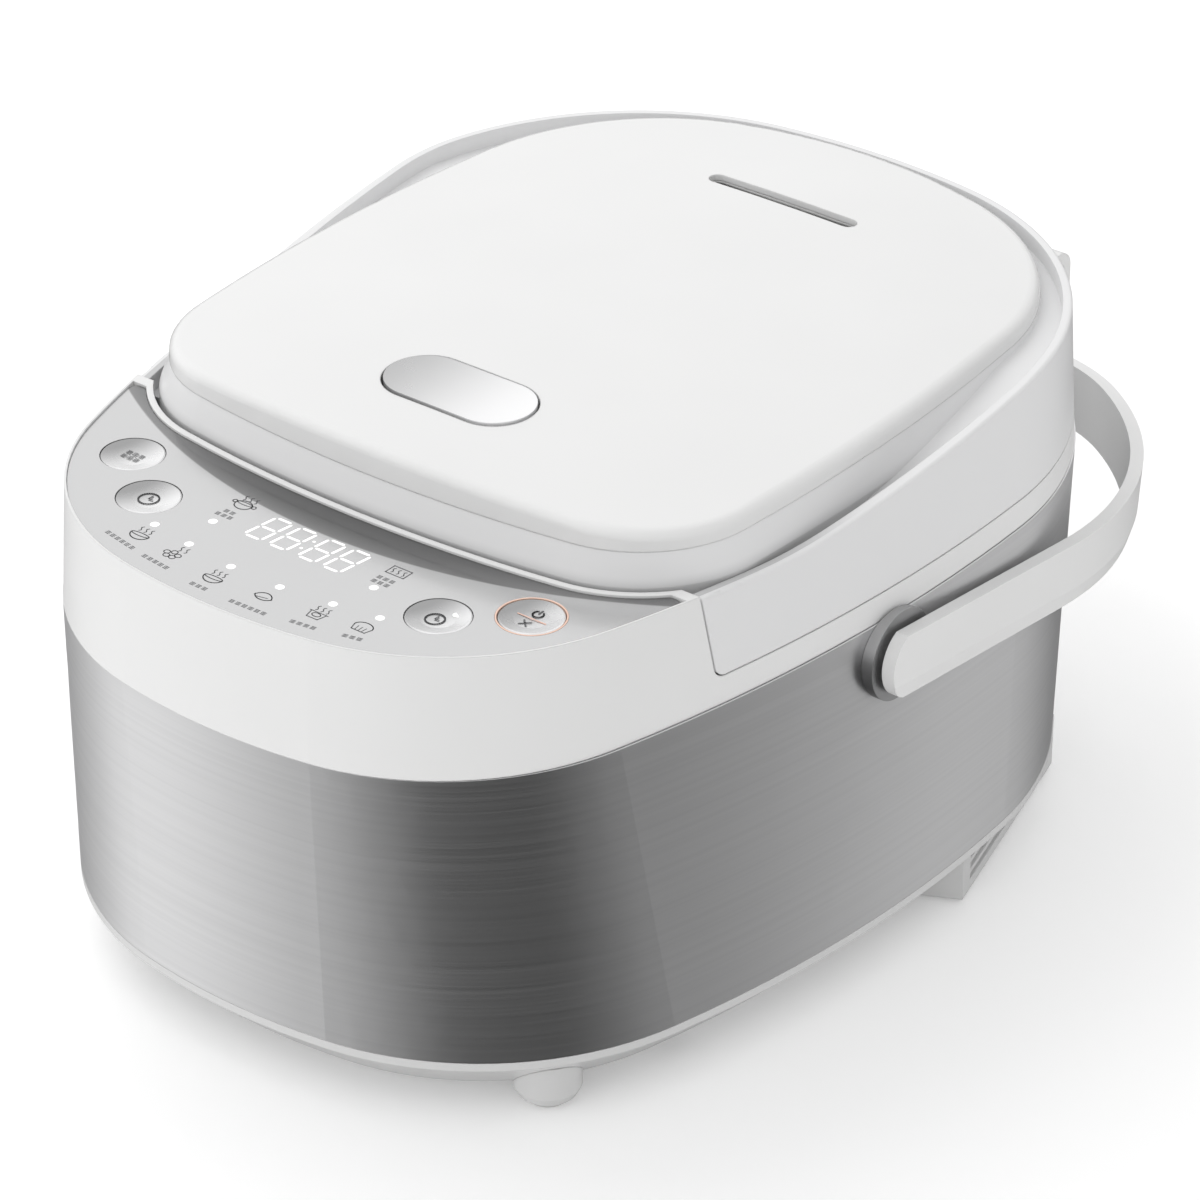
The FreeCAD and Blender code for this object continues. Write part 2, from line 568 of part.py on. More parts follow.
def screw(name, x, y, z_head, head_r, head_t, shank_r, length, up=True):
    """Pan head screw whose shank points up or down from under its head."""
    sign = 1 if up else -1
    head = Part.makeCylinder(head_r, head_t, Vector(x, y, z_head - (head_t if up else 0)))
    shank = Part.makeCylinder(shank_r, length, Vector(x, y, z_head), Vector(0, 0, sign))
    slot_z = z_head - head_t if up else z_head + head_t - 0.8
    recess = Part.makeBox(head_r * 1.2, 0.8, 0.8, Vector(x - head_r * 0.6, y - 0.4, slot_z))
    recess2 = Part.makeBox(0.8, head_r * 1.2, 0.8, Vector(x - 0.4, y - head_r * 0.6, slot_z))
    return head.fuse(shank).cut(recess).cut(recess2)


def group(name, solids):
    return keep(name, Part.makeCompound(solids))


node(group("BoardScrews", [screw("BoardScrew", x, y, num(d.board_z) - 0.02, 2.6, 1.6, 0.98, 9.0)
                           for x, y in BOARD_FIX]), "board_screws")
node(group("BaseScrews", [screw("BaseScrew", x, y, 51.95, 3.8, 2.6, 1.5, 22.0) for x, y in POSTS]),
     "base_screws")

# ---------------------------------------------------------------- casing, heater and pot
casing_top = d.deck_z - 14.3
casing = turned("InnerCasing", [(18, d.casing_z), (d.casing_r - 6, d.casing_z),
                                (d.casing_r, d.casing_z + 6),
                                (d.casing_r, casing_top), (d.casing_r - 0.9, casing_top),
                                (d.casing_r - 0.9, d.casing_z + 6.4), (d.casing_r - 6.4, d.casing_z + 0.9),
                                (18, d.casing_z + 0.9)], d.pot_y)
node(casing, "inner_casing")
stand_spots = [(76 * math.cos(math.radians(a)), 76 * math.sin(math.radians(a))) for a in (30, 150, 270)]
plate = turned("HeatingPlate", [(16, d.plate_z), (d.plate_r, d.plate_z + 1.5),
                                (d.plate_r, d.plate_top_z - 1.5),
                                (d.plate_r - 3, d.plate_top_z), (16, d.plate_top_z)], d.pot_y)
groove = doc.addObject("Part::Torus", "ElementGroove")
bind(groove, "Radius1", d.element_ring_r)
bind(groove, "Radius2", d.element_r + 0.1)
place(groove, 0, d.pot_y, d.plate_z)
plate_bores = [cylinder("PlateBore%d" % i, 1.3, 6, x, d.pot_y + y, d.plate_z - 1)
               for i, (x, y) in enumerate(stand_spots)]
node(cut_all("HeatingPlateCut", plate, groove, *plate_bores), "heating_plate")
element = doc.addObject("Part::Torus", "HeatingElement")
bind(element, "Radius1", d.element_ring_r)
bind(element, "Radius2", d.element_r)
element.Angle3 = 330
place(element, 0, d.pot_y, d.plate_z, (0, 0, 1), 105)
bind(element, "Placement.Base.z", d.plate_z)
node(element, "heating_element")
stands = []
for i, (x, y) in enumerate(stand_spots):
    tube = Part.makeCylinder(4, num(d.plate_z) + 0.9 - num(d.casing_z) - 1.0,
                             Vector(x, num(d.pot_y) + y, num(d.casing_z) + 0.95))
    stands.append(tube.cut(Part.makeCylinder(1.7, 30, Vector(x, num(d.pot_y) + y, 30))))
node(group("PlateStands", stands), "plate_stands")
sensor_cap = turned("SensorCap", [(0, d.plate_top_z - 1), (11.8, d.plate_top_z - 1), (11.8, 41),
                                  (d.sensor_r, 41),
                                  (d.sensor_r, d.plate_top_z - 1.2), (d.sensor_r - 1.2, d.plate_top_z),
                                  (0, d.plate_top_z)], d.pot_y)
node(sensor_cap, "sensor_cap")
holder = turned("SensorHolder", [(0, 28), (15, 28), (15, 35), (22, 35), (22, 36.2), (13.8, 36.2),
                                 (13.8, 29.2),
                                 (0, 29.2)], d.pot_y)
node(holder, "sensor_holder")


def coil(r, wire_r, rise, turns):
    """Round-wire coil spring standing on z = 0, its wire laid in short straight runs."""
    runs = 14
    count = runs * turns
    points = [Vector(r * math.cos(2 * math.pi * i / runs), r * math.sin(2 * math.pi * i / runs),
                     wire_r + rise * i / count) for i in range(count + 1)]
    profile = Part.Wire([Part.makeCircle(wire_r, points[0], points[1] - points[0])])
    return Part.makePolygon(points).makePipeShell([profile], True, False, 1)


def standing_coil(name, r, wire_r, z0, z1, turns, y):
    feature = keep(name, coil(r, wire_r, z1 - z0 - 2 * wire_r, turns))
    feature.Placement = Placement(Vector(0, y, z0), Rotation())
    return feature


node(standing_coil("SensorSpring", 8.0, 0.6, 29.4, 48.6, 6, num(d.pot_y)), "sensor_spring")
fuse_clip = cylinder("ThermalFuse", 2.2, 16, 36, d.pot_y - 8, d.plate_z - 2.3, (1, 0, 0), -90)
node(fuse_clip, "thermal_fuse")

pot_in_r = d.pot_r - d.pot_t
pot_top = d.deck_z + 1.6
pot = turned("InnerPot",
             [(0, d.pot_floor_z), (84, d.pot_floor_z), (98, d.pot_floor_z + 4),
              (d.pot_r - 2, d.pot_floor_z + 16), (d.pot_r, d.pot_floor_z + 30),
              (d.pot_r, d.deck_z + 0.1), (d.pot_rim_r, d.deck_z + 0.1), (d.pot_rim_r, pot_top),
              (pot_in_r, pot_top), (pot_in_r, d.pot_floor_z + 31), (pot_in_r - 2, d.pot_floor_z + 18),
              (97, d.pot_floor_z + 6.2), (83, d.pot_floor_z + d.pot_t), (0, d.pot_floor_z + d.pot_t)],
             d.pot_y)
node(pot, "inner_pot")

# ---------------------------------------------------------------- power parts
node(cut_all("PowerBoard", box("PowerBoardBlank", -58, 58, -180, -114, 40, 41.6),
             *[cylinder("PowerBore%d" % i, 1.6, 10, x, y, 36) for i, (x, y) in enumerate(BOARD_POSTS)]),
     "power_board")
node(group("PowerScrews", [screw("PowerScrew", x, y, 41.62, 2.8, 1.8, 1.28, 10.0, False) for x,
                           y in BOARD_POSTS]),
     "power_board_screws")
node(box("Relay", -44, -25, -156, -140, 41.62, 57), "relay")
node(box("Transformer", 8, 38, -158, -132, 41.62, 64), "transformer")
node(cylinder("Capacitor", 6.3, 20, -8, -160, 41.62), "capacitor")
flange_y = d.base_rear + 0.2
inlet_body = fuse("InletBody",
                  box("InletFlange", -29, 29, flange_y, flange_y + 2.4, d.inlet_z - 19, d.inlet_z + 19),
                  box("InletShell", -23.5, 23.5, flange_y - d.inlet_d, flange_y + 0.1, d.inlet_z - 13.5,
                      d.inlet_z + 13.5))
inlet_cavity = box("InletCavity", -d.inlet_w * 0.5 + 3, d.inlet_w * 0.5 - 3, flange_y - 20, flange_y + 6,
                   d.inlet_z - 9, d.inlet_z + 9)
pins_seat = [box("PinSeat%d" % i, x - 1.05, x + 1.05, flange_y - 30, flange_y - 10, d.inlet_z + z - 2.05,
                 d.inlet_z + z + 2.05)
             for i, (x, z) in enumerate(((-7, -2), (7, -2), (0, 3)))]
node(cut_all("PowerInlet", inlet_body, inlet_cavity, *pins_seat), "power_inlet")
node(fuse("InletPins", *[box("Pin%d" % i, x - 1, x + 1, flange_y - 32, flange_y - 6, d.inlet_z + z - 2,
                             d.inlet_z + z + 2)
                         for i, (x, z) in enumerate(((-7, -2), (7, -2), (0, 3)))]), "inlet_pins")


def lead(name, points, r, bend):
    """Insulated wire: straight runs joined by tangent arcs."""
    edges = []
    start = Vector(*points[0])
    for i in range(1, len(points) - 1):
        corner = Vector(*points[i])
        u = (Vector(*points[i - 1]) - corner).normalize()
        v = (Vector(*points[i + 1]) - corner).normalize()
        half = u.getAngle(v) / 2
        back = bend / math.tan(half)
        p, q = corner + u * back, corner + v * back
        middle = corner + (u + v).normalize() * (bend / math.sin(half) - bend)
        edges.append(Part.LineSegment(start, p).toShape())
        edges.append(Part.Arc(p, middle, q).toShape())
        start = q
    edges.append(Part.LineSegment(start, Vector(*points[-1])).toShape())
    spine = Part.Wire(edges)
    along = (Vector(*points[1]) - Vector(*points[0])).normalize()
    profile = Part.Wire([Part.makeCircle(r, Vector(*points[0]), along)])
    tube = spine.makePipeShell([profile], True, True)
    return keep(name, tube)


rear_y = num(d.base_rear) - 32
node(lead("MainsLead", [(-7, rear_y - 0.3, 60), (-7, rear_y - 4.9, 60), (-7, rear_y - 4.9, 20),
                        (-7, -118, 20),
                        (-7, -118, 39.8)], 2.4, 4), "mains_lead")
node(lead("HeaterLead", [(30, -118, 39.8), (30, -118, 20), (30, -30, 20), (30, -30, 33.8)], 2.0, 5),
     "heater_lead")
node(lead("PanelLead", [(-20, -176, 42.2), (-20, -176, 110), (-20, -172, 164.8)], 2.2, 60), "panel_lead")
doc.recompute()

# ---------------------------------------------------------------- lid
rim_low, rim_high = 184.7, 201.6
rim_turn_y, rim_top_y = -59.5, 75.7
lid_side = extrude(
    "LidSide",
    polygon("LidSidePlan",
            [(side_cut_y + 4.6 + d.gap, strip_z + d.gap - 96 * d.slope),
             (230, strip_z + d.gap + 230 * d.slope),
             (230, rim_high + 2.6), (rim_top_y, rim_high), (rim_turn_y, rim_low),
             (side_cut_y - 0.4 + d.gap, rim_low)], SIDE), 400, True)
lid_side = rounded("LidSideCorner", lid_side, 3.9,
                   lambda e: at(e, y=side_cut_y + 4.6 + d.gap, x=0))
lid_side = rounded("LidSideRimA", lid_side, 260, lambda e: at(e, y=rim_turn_y, x=0))
lid_side = rounded("LidSideRimB", lid_side, 260, lambda e: at(e, y=rim_top_y, x=0))
skirt_block = common("LidSkirtBlock", block_outer, lid_side)
skirt_block = rounded("LidSkirtRim", skirt_block, 1.2,
                      lambda e: e.BoundBox.ZMin > 184 and e.BoundBox.YMax > -60 and e.BoundBox.ZMax < 206
                      and abs(e.valueAt((e.FirstParameter + e.LastParameter) / 2).x) > 1
                      and e.BoundBox.DiagonalLength > 3)
channel_drop = 6.5
channel_side = extrude(
    "ChannelSide",
    polygon("ChannelSidePlan",
            [(-230, rim_low - channel_drop), (rim_turn_y, rim_low - channel_drop),
             (rim_top_y, rim_high - channel_drop), (230, rim_high + 2.6 - channel_drop), (230, 260), (-230,
                                                                                                      260)],
            SIDE), 400, True)
inside_land = prism("InsideLand", "body", d.land + 2.9, 150, 260)
channel = common("Channel", channel_side, inside_land)
tier_low = loft("TierLow", ("cover", -d.opening_out + d.lid_gap, 157.9),
                ("cover", -d.opening_out + d.lid_gap + 0.6, 186))
tier_high = loft("TierHigh", ("cover", -d.opening_out + d.lid_gap + 0.6, 186),
                 ("cover", 0.25, d.cover_z - 0.1))
under_channel = extrude(
    "UnderChannel",
    polygon("UnderChannelPlan",
            [(-230, 100), (230, 100), (230, rim_high + 2.6 - channel_drop - d.wall),
             (rim_top_y, rim_high - channel_drop - d.wall), (rim_turn_y, rim_low - channel_drop - d.wall),
             (-230, rim_low - channel_drop - d.wall)], SIDE), 400, True)
skirt_hollow = common("SkirtHollow", under_channel, prism("SkirtHollowPlan", "body", 4.3, 100, 260),
                      box("SkirtZone", -200, 200, side_cut_y + 8, 230, 100, 260))
tier_hollow = fuse("TierHollow",
                   prism("TierHollowLow", "cover", -d.opening_out + d.lid_gap + d.wall, 150, 184),
                   loft("TierHollowHigh", ("cover", -d.opening_out + d.lid_gap + d.wall, 184),
                        ("cover", 3.4, d.cover_z)),
                   prism("TierHollowTop", "cover", 3.4, d.cover_z - 0.5, 240))
over_platform = common("OverPlatform", prism("OverPlatformPlan", "body", 5.0, 100, d.deck_z + 0.9),
                       box("OverPlatformZone", -200, 200, side_cut_y, -80, 100, 260))
skirt_only = cut_all("SkirtOnly", skirt_block, channel, skirt_hollow, over_platform)
lid_tub = cut("LidTub", fuse("LidTubSolid", skirt_only, tier_low, tier_high), tier_hollow)
web = box("HingeWeb", -d.lid_knuckle, d.lid_knuckle, d.hinge_y - 9, d.hinge_y, d.hinge_z - 5, d.hinge_z + 7)
barrel = cylinder("LidBarrel", d.hinge_r, d.lid_knuckle * 2, -d.lid_knuckle, d.hinge_y, d.hinge_z,
                  (0, 1, 0), 90)
outside_tier = prism("OutsideTier", "cover", -d.opening_out + d.lid_gap + d.wall, 140, 260)
slot_right = box("KnuckleGapRight", d.lid_knuckle, d.knuckle_out + 1.3, 160, 200, 140, d.hinge_z + 9.5)
slot_left = box("KnuckleGapLeft", -d.knuckle_out - 1.3, -d.lid_knuckle, 160, 200, 140, d.hinge_z + 9.5)
knuckle_gap = cut("KnuckleGap", fuse("KnuckleGaps", slot_right, slot_left),
                  prism("KeepTier", "cover", -d.opening_out + d.lid_gap, 100, 260))
lid_bore = cylinder("LidHingeBore", d.pin_r + 0.15, 200, -100, d.hinge_y, d.hinge_z, (0, 1, 0), 90)
spring_seats = [cylinder("SpringSeat%d" % i, d.hinge_r - 1.4, 13, x, d.hinge_y, d.hinge_z, (0, 1, 0), 90)
                for i, x in enumerate((35.5, -48.5))]
hook_slot = box("HookSlot", -8, 8, -131, -122, 170, 181.0)
LID_FIX = [(96, -60), (-96, -60), (98, 96), (-98, 96)]
lid_posts = [cylinder("LidPost%d" % i, 4, 22, x, y, 165.2) for i, (x, y) in enumerate(LID_FIX)]
lid_pilots = [cylinder("LidPilot%d" % i, 1.2, 18, x, y, 160) for i, (x, y) in enumerate(LID_FIX)]
shelf = cut_all("LidShelf", prism("LidShelfPlan", "cover", -d.opening_out + d.lid_gap + d.wall - 0.5, 185,
                                  187.4),
                box("ShelfFront", -62, 62, -140, -50, 150, 250),
                box("ShelfDuct", -39, 39, 98, 127, 150, 250),
                cylinder("ShelfMiddle", 60, 60, 0, 22, 150))
lid_all = fuse("LidAll", lid_tub, cut("HingeBarrelOut", fuse("HingeBarrel", web, barrel), outside_tier),
               shelf, *lid_posts)
lid_shell = cut_all("LidShell", lid_all, knuckle_gap, lid_bore, hook_slot, *(spring_seats + lid_pilots))
node(lid_shell, "lid_shell")

crown = doc.addObject("Sketcher::SketchObject", "CrownProfile")
half_w = 150.0
side_r = num(d.crown_side_r)
drop = side_r - math.sqrt(side_r ** 2 - half_w ** 2)
top = num(d.crown_z)
crown.addGeometry([Part.ArcOfCircle(Part.Circle(Vector(0, top - side_r, 0), Vector(0, 0, 1), side_r),
                                    math.acos(half_w / side_r), math.pi - math.acos(half_w / side_r)),
                   Part.LineSegment(Vector(-half_w, top - drop, 0), Vector(-half_w, 150, 0)),
                   Part.LineSegment(Vector(-half_w, 150, 0), Vector(half_w, 150, 0)),
                   Part.LineSegment(Vector(half_w, 150, 0), Vector(half_w, top - drop, 0))], False)
crown.addConstraint([Sketcher.Constraint("Coincident", 0, 2, 1, 1),
                     Sketcher.Constraint("Coincident", 1, 2, 2, 1),
                     Sketcher.Constraint("Coincident", 2, 2, 3, 1), Sketcher.Constraint("Coincident", 3, 2,
                                                                                        0, 1),
                     Sketcher.Constraint("PointOnObject", 0, 3, -2), Sketcher.Constraint("Vertical", 1),
                     Sketcher.Constraint("Vertical", 3), Sketcher.Constraint("Horizontal", 2)])
drive(crown, "side_r", Sketcher.Constraint("Radius", 0, side_r), d.crown_side_r)
drive(crown, "low", Sketcher.Constraint("DistanceY", -1, 1, 1, 2, 150), 150)
drive(crown, "halfw", Sketcher.Constraint("DistanceX", -1, 1, 2, 2, half_w), half_w)
drive(crown, "centre", Sketcher.Constraint("DistanceY", 0, 3, -1, 1, side_r - top),
      d.crown_side_r - d.crown_z)
crown.Placement = Placement(Vector(0, 0, 0), FRONT)


def crown_solid(name, lowered):
    """Everything under the crowned top of the cover, lowered by a wall."""
    turn = doc.addObject("Part::Revolution", name)
    turn.Source = crown
    turn.Axis = Vector(1, 0, 0)
    turn.Angle = 6
    turn.Symmetric = True
    turn.Solid = True
    turn.Base = Vector(0, 0, num(d.crown_z - d.crown_long_r))
    bind(turn, "Base.z", d.crown_z - d.crown_long_r)
    bind(turn, "Placement.Base.z", -lowered)
    return turn


cover_block = common("CoverBlock", loft("CoverLoft", ("cover", 0, d.cover_z), ("cover", 1.4, 216)),
                     crown_solid("CrownTop", Size(0, "0")))
cover_block = rounded("CoverRound", cover_block, 4.0,
                      lambda e: e.BoundBox.ZMin > 200 and e.BoundBox.DiagonalLength > 5)
cover_hollow = common("CoverHollow", prism("CoverHollowPlan", "cover", d.cover_t + 1, 190, 230),
                      crown_solid("CrownUnder", d.cover_t))


def stadium(name, half, r, x, y, z0, z1):
    """Long hole or plate with round ends lying along x."""
    return fuse(name, box(name + "Mid", x - half, x + half, y - r, y + r, z0, z1),
                cylinder(name + "A", r, z1 - z0, x - half, y, z0), cylinder(name + "B", r, z1 - z0,
                                                                            x + half, y, z0))


button_hole = stadium("ButtonHole", d.button_half, d.button_r + d.button_gap, 0, d.button_y, 190, 220)
vent_hole = stadium("VentHole", d.vent_half, d.vent_r, 0, d.vent_y, 190, 220)
node(cut_all("LidCover", cover_block, cover_hollow, button_hole, vent_hole), "lid_cover")

well = cut_all("ButtonWell", stadium("WellOut", d.button_half, d.button_r + d.button_gap + 2, 0,
                                     d.button_y, 193, 206.2),
               stadium("WellIn", d.button_half, d.button_r + d.button_gap, 0, d.button_y, 195, 230),
               cylinder("WellBore", 4.4, 30, 0, d.button_y, 180))
node(well, "button_well")
button_top = 209.55
button_block = stadium("ButtonBlock", d.button_half, d.button_r, 0, d.button_y, 201.5, button_top)

button_cap = fuse("ButtonCap", button_block, cylinder("ButtonStem", 4, 14.5, 0, d.button_y, 187.2))
node(button_cap, "lid_button")
node(standing_coil("ButtonSpring", 6.4, 0.6, 195.1, 201.4, 3, num(d.button_y)), "button_spring")

pivot_y, pivot_z = -112.0, 165.5
lever = fuse("LatchLever",
             cylinder("LatchHub", 3.6, 15, -7.5, pivot_y, pivot_z, (0, 1, 0), 90),
             extrude("LatchPlate",
                     polygon("LatchPlatePlan",
                             [(pivot_y - 3, pivot_z), (pivot_y - 3, 175.6), (-128.6, 175.6),
                              (-128.6, 179.3),
                              (-124.0, 179.9), (-118.0, 182.6), (-112, 182.6), (-68, 186.6), (-68, 183.8),
                              (-104, 179.0), (pivot_y + 3, pivot_z)], SIDE), 13, True))
latch_bore = cylinder("LatchBore", 1.65, 40, -20, pivot_y, pivot_z, (0, 1, 0), 90)
node(cut_all("LatchHook", lever, latch_bore), "latch_hook")
node(cylinder("LatchPin", 1.5, 26, -13, pivot_y, pivot_z, (0, 1, 0), 90), "latch_pin")

liner_inset = -d.opening_out + d.lid_gap + d.wall + 0.3
liner_blank = prism("LinerPlate", "cover", liner_inset, 163.0, 165.1)
ears = [box("LatchEar%d" % i, x, x + 4, pivot_y - 5, pivot_y + 5, 162.5 + 0.6, pivot_z + 4.5)
        for i, x in enumerate((8.2, -12.2))]
liner_wall = cut("LinerWall", cylinder("LinerWallOut", 116.5, 5, 0, d.pot_y, 160.2),
                 cylinder("LinerWallIn", 114.2, 30, 0, d.pot_y, 150))
liner_wall = common("LinerWallTrim", liner_wall, prism("LinerWallZone", "cover", liner_inset, 150, 175))
steam_x, steam_y = 0, 112.3
liner_cuts = [cylinder("LinerSteam", 7.2, 30, steam_x, steam_y - 3, 150),
              cylinder("LinerProbe", 5.2, 30, 34, 62, 150),
              cylinder("EarBore", 1.6, 60, -30, pivot_y, pivot_z, (0, 1, 0), 90),
              box("LeverSlot", -7.8, 7.8, -120, -103, 155, 168)]
liner_cuts += [cylinder("LinerFix%d" % i, 1.9, 20, x, y, 150) for i, (x, y) in enumerate(LID_FIX)]
node(cut_all("LidLiner", fuse("LinerSolid", liner_blank, liner_wall, *ears), *liner_cuts), "lid_liner")
node(group("LidScrews", [screw("LidScrew", x, y, 162.96, 3.0, 1.8, 1.18, 14.0) for x, y in LID_FIX]),
     "lid_screws")
inner_cuts = [cylinder("InnerSteam", 6.2, 20, steam_x, steam_y - 3, 150),
              cylinder("InnerProbe", 5.2, 20, 34, 62, 150)]
inner_plate = cylinder("InnerPlate", 113.4, 1.0, 0, d.pot_y, 161.9)
node(cut_all("InnerLid", inner_plate, *inner_cuts), "inner_lid")
seal = turned("LidSeal", [(105.5, 158.5), (113.2, 158.5), (113.2, 161.88), (108, 161.88), (108, 160.4),
                          (105.5, 159.6)],
              d.pot_y)
node(seal, "lid_seal")
node(turned("LidProbe", [(0, 157.5), (3.6, 157.5), (4.6, 158.4), (4.6, 169), (3, 172), (0, 172)], 62, 34),
     "lid_thermistor")
duct = cut_all("SteamDuct", box("DuctOut", -36, 36, d.vent_y - 10, d.vent_y + 10, 165.15, 206.0),
               box("DuctIn", -34, 34, d.vent_y - 8, d.vent_y + 8, 167.2, 204.4),
               stadium("DuctSlot", d.vent_half, d.vent_r, 0, d.vent_y, 200, 230),
               cylinder("DuctInlet", 6.2, 20, steam_x, steam_y - 3, 160))
rib = box("VentRib", -34.5, 34.5, d.vent_y - 0.5, d.vent_y + 0.5, 190, 204.2)
crown_trim = crown_solid("CrownTrim", d.cover_t + 0.05)
node(common("SteamDuctTrim", fuse("SteamDuctAll", duct, rib), crown_trim), "steam_duct")
node(lead("LidLead", [(34, 66.8, 169), (34, 78, 169), (44, 96, 169), (44, 160, 169)], 1.4, 14), "lid_lead")

node(cylinder("HingePin", d.pin_r, 2 * d.knuckle_out - 2, 1 - d.knuckle_out, d.hinge_y, d.hinge_z,
              (0, 1, 0), 90),
     "hinge_pin")


def torsion(name, x0):
    """Coil round the hinge pin, hidden in the end of the lid barrel."""
    feature = keep(name, coil(4.2, 0.6, 9.8, 6))
    feature.Placement = Placement(Vector(x0, num(d.hinge_y), num(d.hinge_z)), Rotation(Vector(0, 1, 0), 90))
    return feature.Shape


node(group("HingeSprings", [torsion("HingeSpringA", 36.4), torsion("HingeSpringB", -47.6)]),
     "hinge_springs")

# ---------------------------------------------------------------- carrying handle
fold_z = -6.6
strap_out = fuse("StrapOut",
                 prism("StrapCurve", "handle", 0, fold_z, d.strap_half),
                 loft("StrapCurveLow", ("handle", 1.6, -d.strap_low), ("handle", 0, fold_z)),
                 box("StrapArms", -d.handle_half, d.handle_half, d.pivot_y - 30, d.handle_wide_y,
                     fold_z, d.strap_half),
                 extrude("StrapArmsLow",
                         polygon("StrapArmsLowPlan",
                                 [(-d.handle_half, fold_z), (-d.handle_half + 1.6, -d.strap_low),
                                  (d.handle_half - 1.6, -d.strap_low), (d.handle_half, fold_z)],
                                 FRONT, 0, d.handle_wide_y),
                         d.handle_wide_y - d.pivot_y + 30))
strap_in = fuse("StrapIn",
                prism("StrapCurveIn", "handle", d.arm_t, -40, 40),
                box("StrapArmsIn", -d.handle_half + d.arm_t, d.handle_half - d.arm_t,
                    d.pivot_y - 60, d.handle_wide_y, -40, 40))
side_view = extrude("StrapSide",
                    polygon("StrapSidePlan",
                            [(d.pivot_y, d.arm_r), (d.pivot_y, -d.arm_r), (d.pivot_y + 60, -d.strap_low),
                             (260, -d.strap_low), (260, d.strap_half), (d.pivot_y + 60,
                                                                        d.strap_half)][::-1], SIDE),
                    400, True)
side_end = cylinder("StrapEnd", d.arm_r, 400, -200, d.pivot_y, 0, (0, 1, 0), 90)
strap = common("Strap", cut("StrapRing", strap_out, strap_in), fuse("StrapSideAll", side_view, side_end))
spigots = fuse("Spigots",
               cylinder("SpigotRight", d.spigot_r, 17.6, 130.2, d.pivot_y, 0, (0, 1, 0), 90),
               cylinder("SpigotLeft", d.spigot_r, 17.6, -147.8, d.pivot_y, 0, (0, 1, 0), 90))
handle_flat = cut_all("HandleFlat", fuse("HandleSolid", strap, spigots),
                      cylinder("SpigotBoreRight", 1.5, 14, 129, d.pivot_y, 0, (0, 1, 0), 90),
                      cylinder("SpigotBoreLeft", 1.5, 14, -143, d.pivot_y, 0, (0, 1, 0), 90))
swing = Rotation(Vector(1, 0, 0), -num(d.handle_drop))
pivot = Vector(0, num(d.pivot_y), 0)
turned_pivot = swing.multVec(pivot)
handle_flat.Placement = Placement(pivot - turned_pivot + Vector(0, 0, num(d.pivot_z)), swing)
bind(handle_flat, "Placement.Base.z", d.pivot_z - turned_pivot.z)
node(handle_flat, "handle")
screws = []
for side in (1, -1):
    head = Part.makeCylinder(8, 1.2, Vector(128.9 * side, num(d.pivot_y), num(d.pivot_z)),
                             Vector(side, 0, 0))
    cap = Part.makeCylinder(4.2, 2.6, Vector(126.3 * side, num(d.pivot_y), num(d.pivot_z)),
                            Vector(side, 0, 0))
    shank = Part.makeCylinder(1.48, 12, Vector(129 * side, num(d.pivot_y), num(d.pivot_z)),
                              Vector(side, 0, 0))
    screws.append(head.fuse([cap, shank]))
node(group("PivotScrews", screws), "pivot_screws")
nut_rings = []
for side, name in ((1, "right"), (-1, "left")):
    disc_x = 136 if side > 0 else -145.3
    disc = cut("BossDisc" + name, cylinder("BossBlank" + name, d.boss_r, 9.3, disc_x, d.pivot_y, d.pivot_z,
                                           (0, 1, 0), 90),
               loft("BossShape" + name, ("base", -0.06, d.steel_z), ("body", -0.06, 152.0)))
    shank_x = 130.6 if side > 0 else -144
    shank = cylinder("BossShank" + name, d.spigot_r + 4, 13.4, shank_x, d.pivot_y, d.pivot_z, (0, 1, 0), 90)
    boss = cut_all("Boss" + name, fuse("BossSolid" + name, disc, shank),
                   cylinder("BossBore" + name, d.spigot_r + 0.35, 60,
                            disc_x - 20 if side > 0 else disc_x - 5,
                            d.pivot_y, d.pivot_z, (0, 1, 0), 90))
    node(boss, "pivot_boss_" + name)
    nut_x = 131.6 if side > 0 else -135.6
    ring_out = Part.makeCylinder(15, 4, Vector(nut_x, num(d.pivot_y), num(d.pivot_z)), Vector(1, 0, 0))
    ring_in = Part.makeCylinder(num(d.spigot_r) + 4.05, 4, Vector(nut_x, num(d.pivot_y), num(d.pivot_z)),
                                Vector(1, 0, 0))
    nut_rings.append(ring_out.cut(ring_in))
node(group("PivotNuts", nut_rings), "pivot_nuts")
doc.recompute()

# ---------------------------------------------------------------- datum
# Everything above is laid out from a line across the middle of the body.  The origin of the
# finished part is under the middle of its overall length, so each node is moved along by that.
for feature in NODES:
    bound = {path.lstrip("."): text for path, text in feature.ExpressionEngine}
    before = bound.get("Placement.Base.y", repr(feature.Placement.Base.y))
    feature.setExpression("Placement.Base.y", "%s + Dims.datum_y" % before)

# ---------------------------------------------------------------- checks and export
doc.recompute()
for obj in doc.Objects:
    if "Invalid" in obj.State or "Error" in obj.State:
        raise RuntimeError("object %s is in state %s" % (obj.Label, obj.State))
os.makedirs("parts", exist_ok=True)
for obj in NODES:
    shape = obj.Shape
    if shape.isNull() or not shape.isValid() or not shape.Solids:
        raise RuntimeError("node %s has no valid solid" % obj.Label)
    shape.exportStep("parts/%s.step" % obj.Label)
    print("%-22s %2d solid(s) %10.0f mm3" % (obj.Label, len(shape.Solids), shape.Volume))
print(len(NODES), "nodes")
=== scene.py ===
import math

import bmesh
import bpy
from mathutils import Matrix, Vector


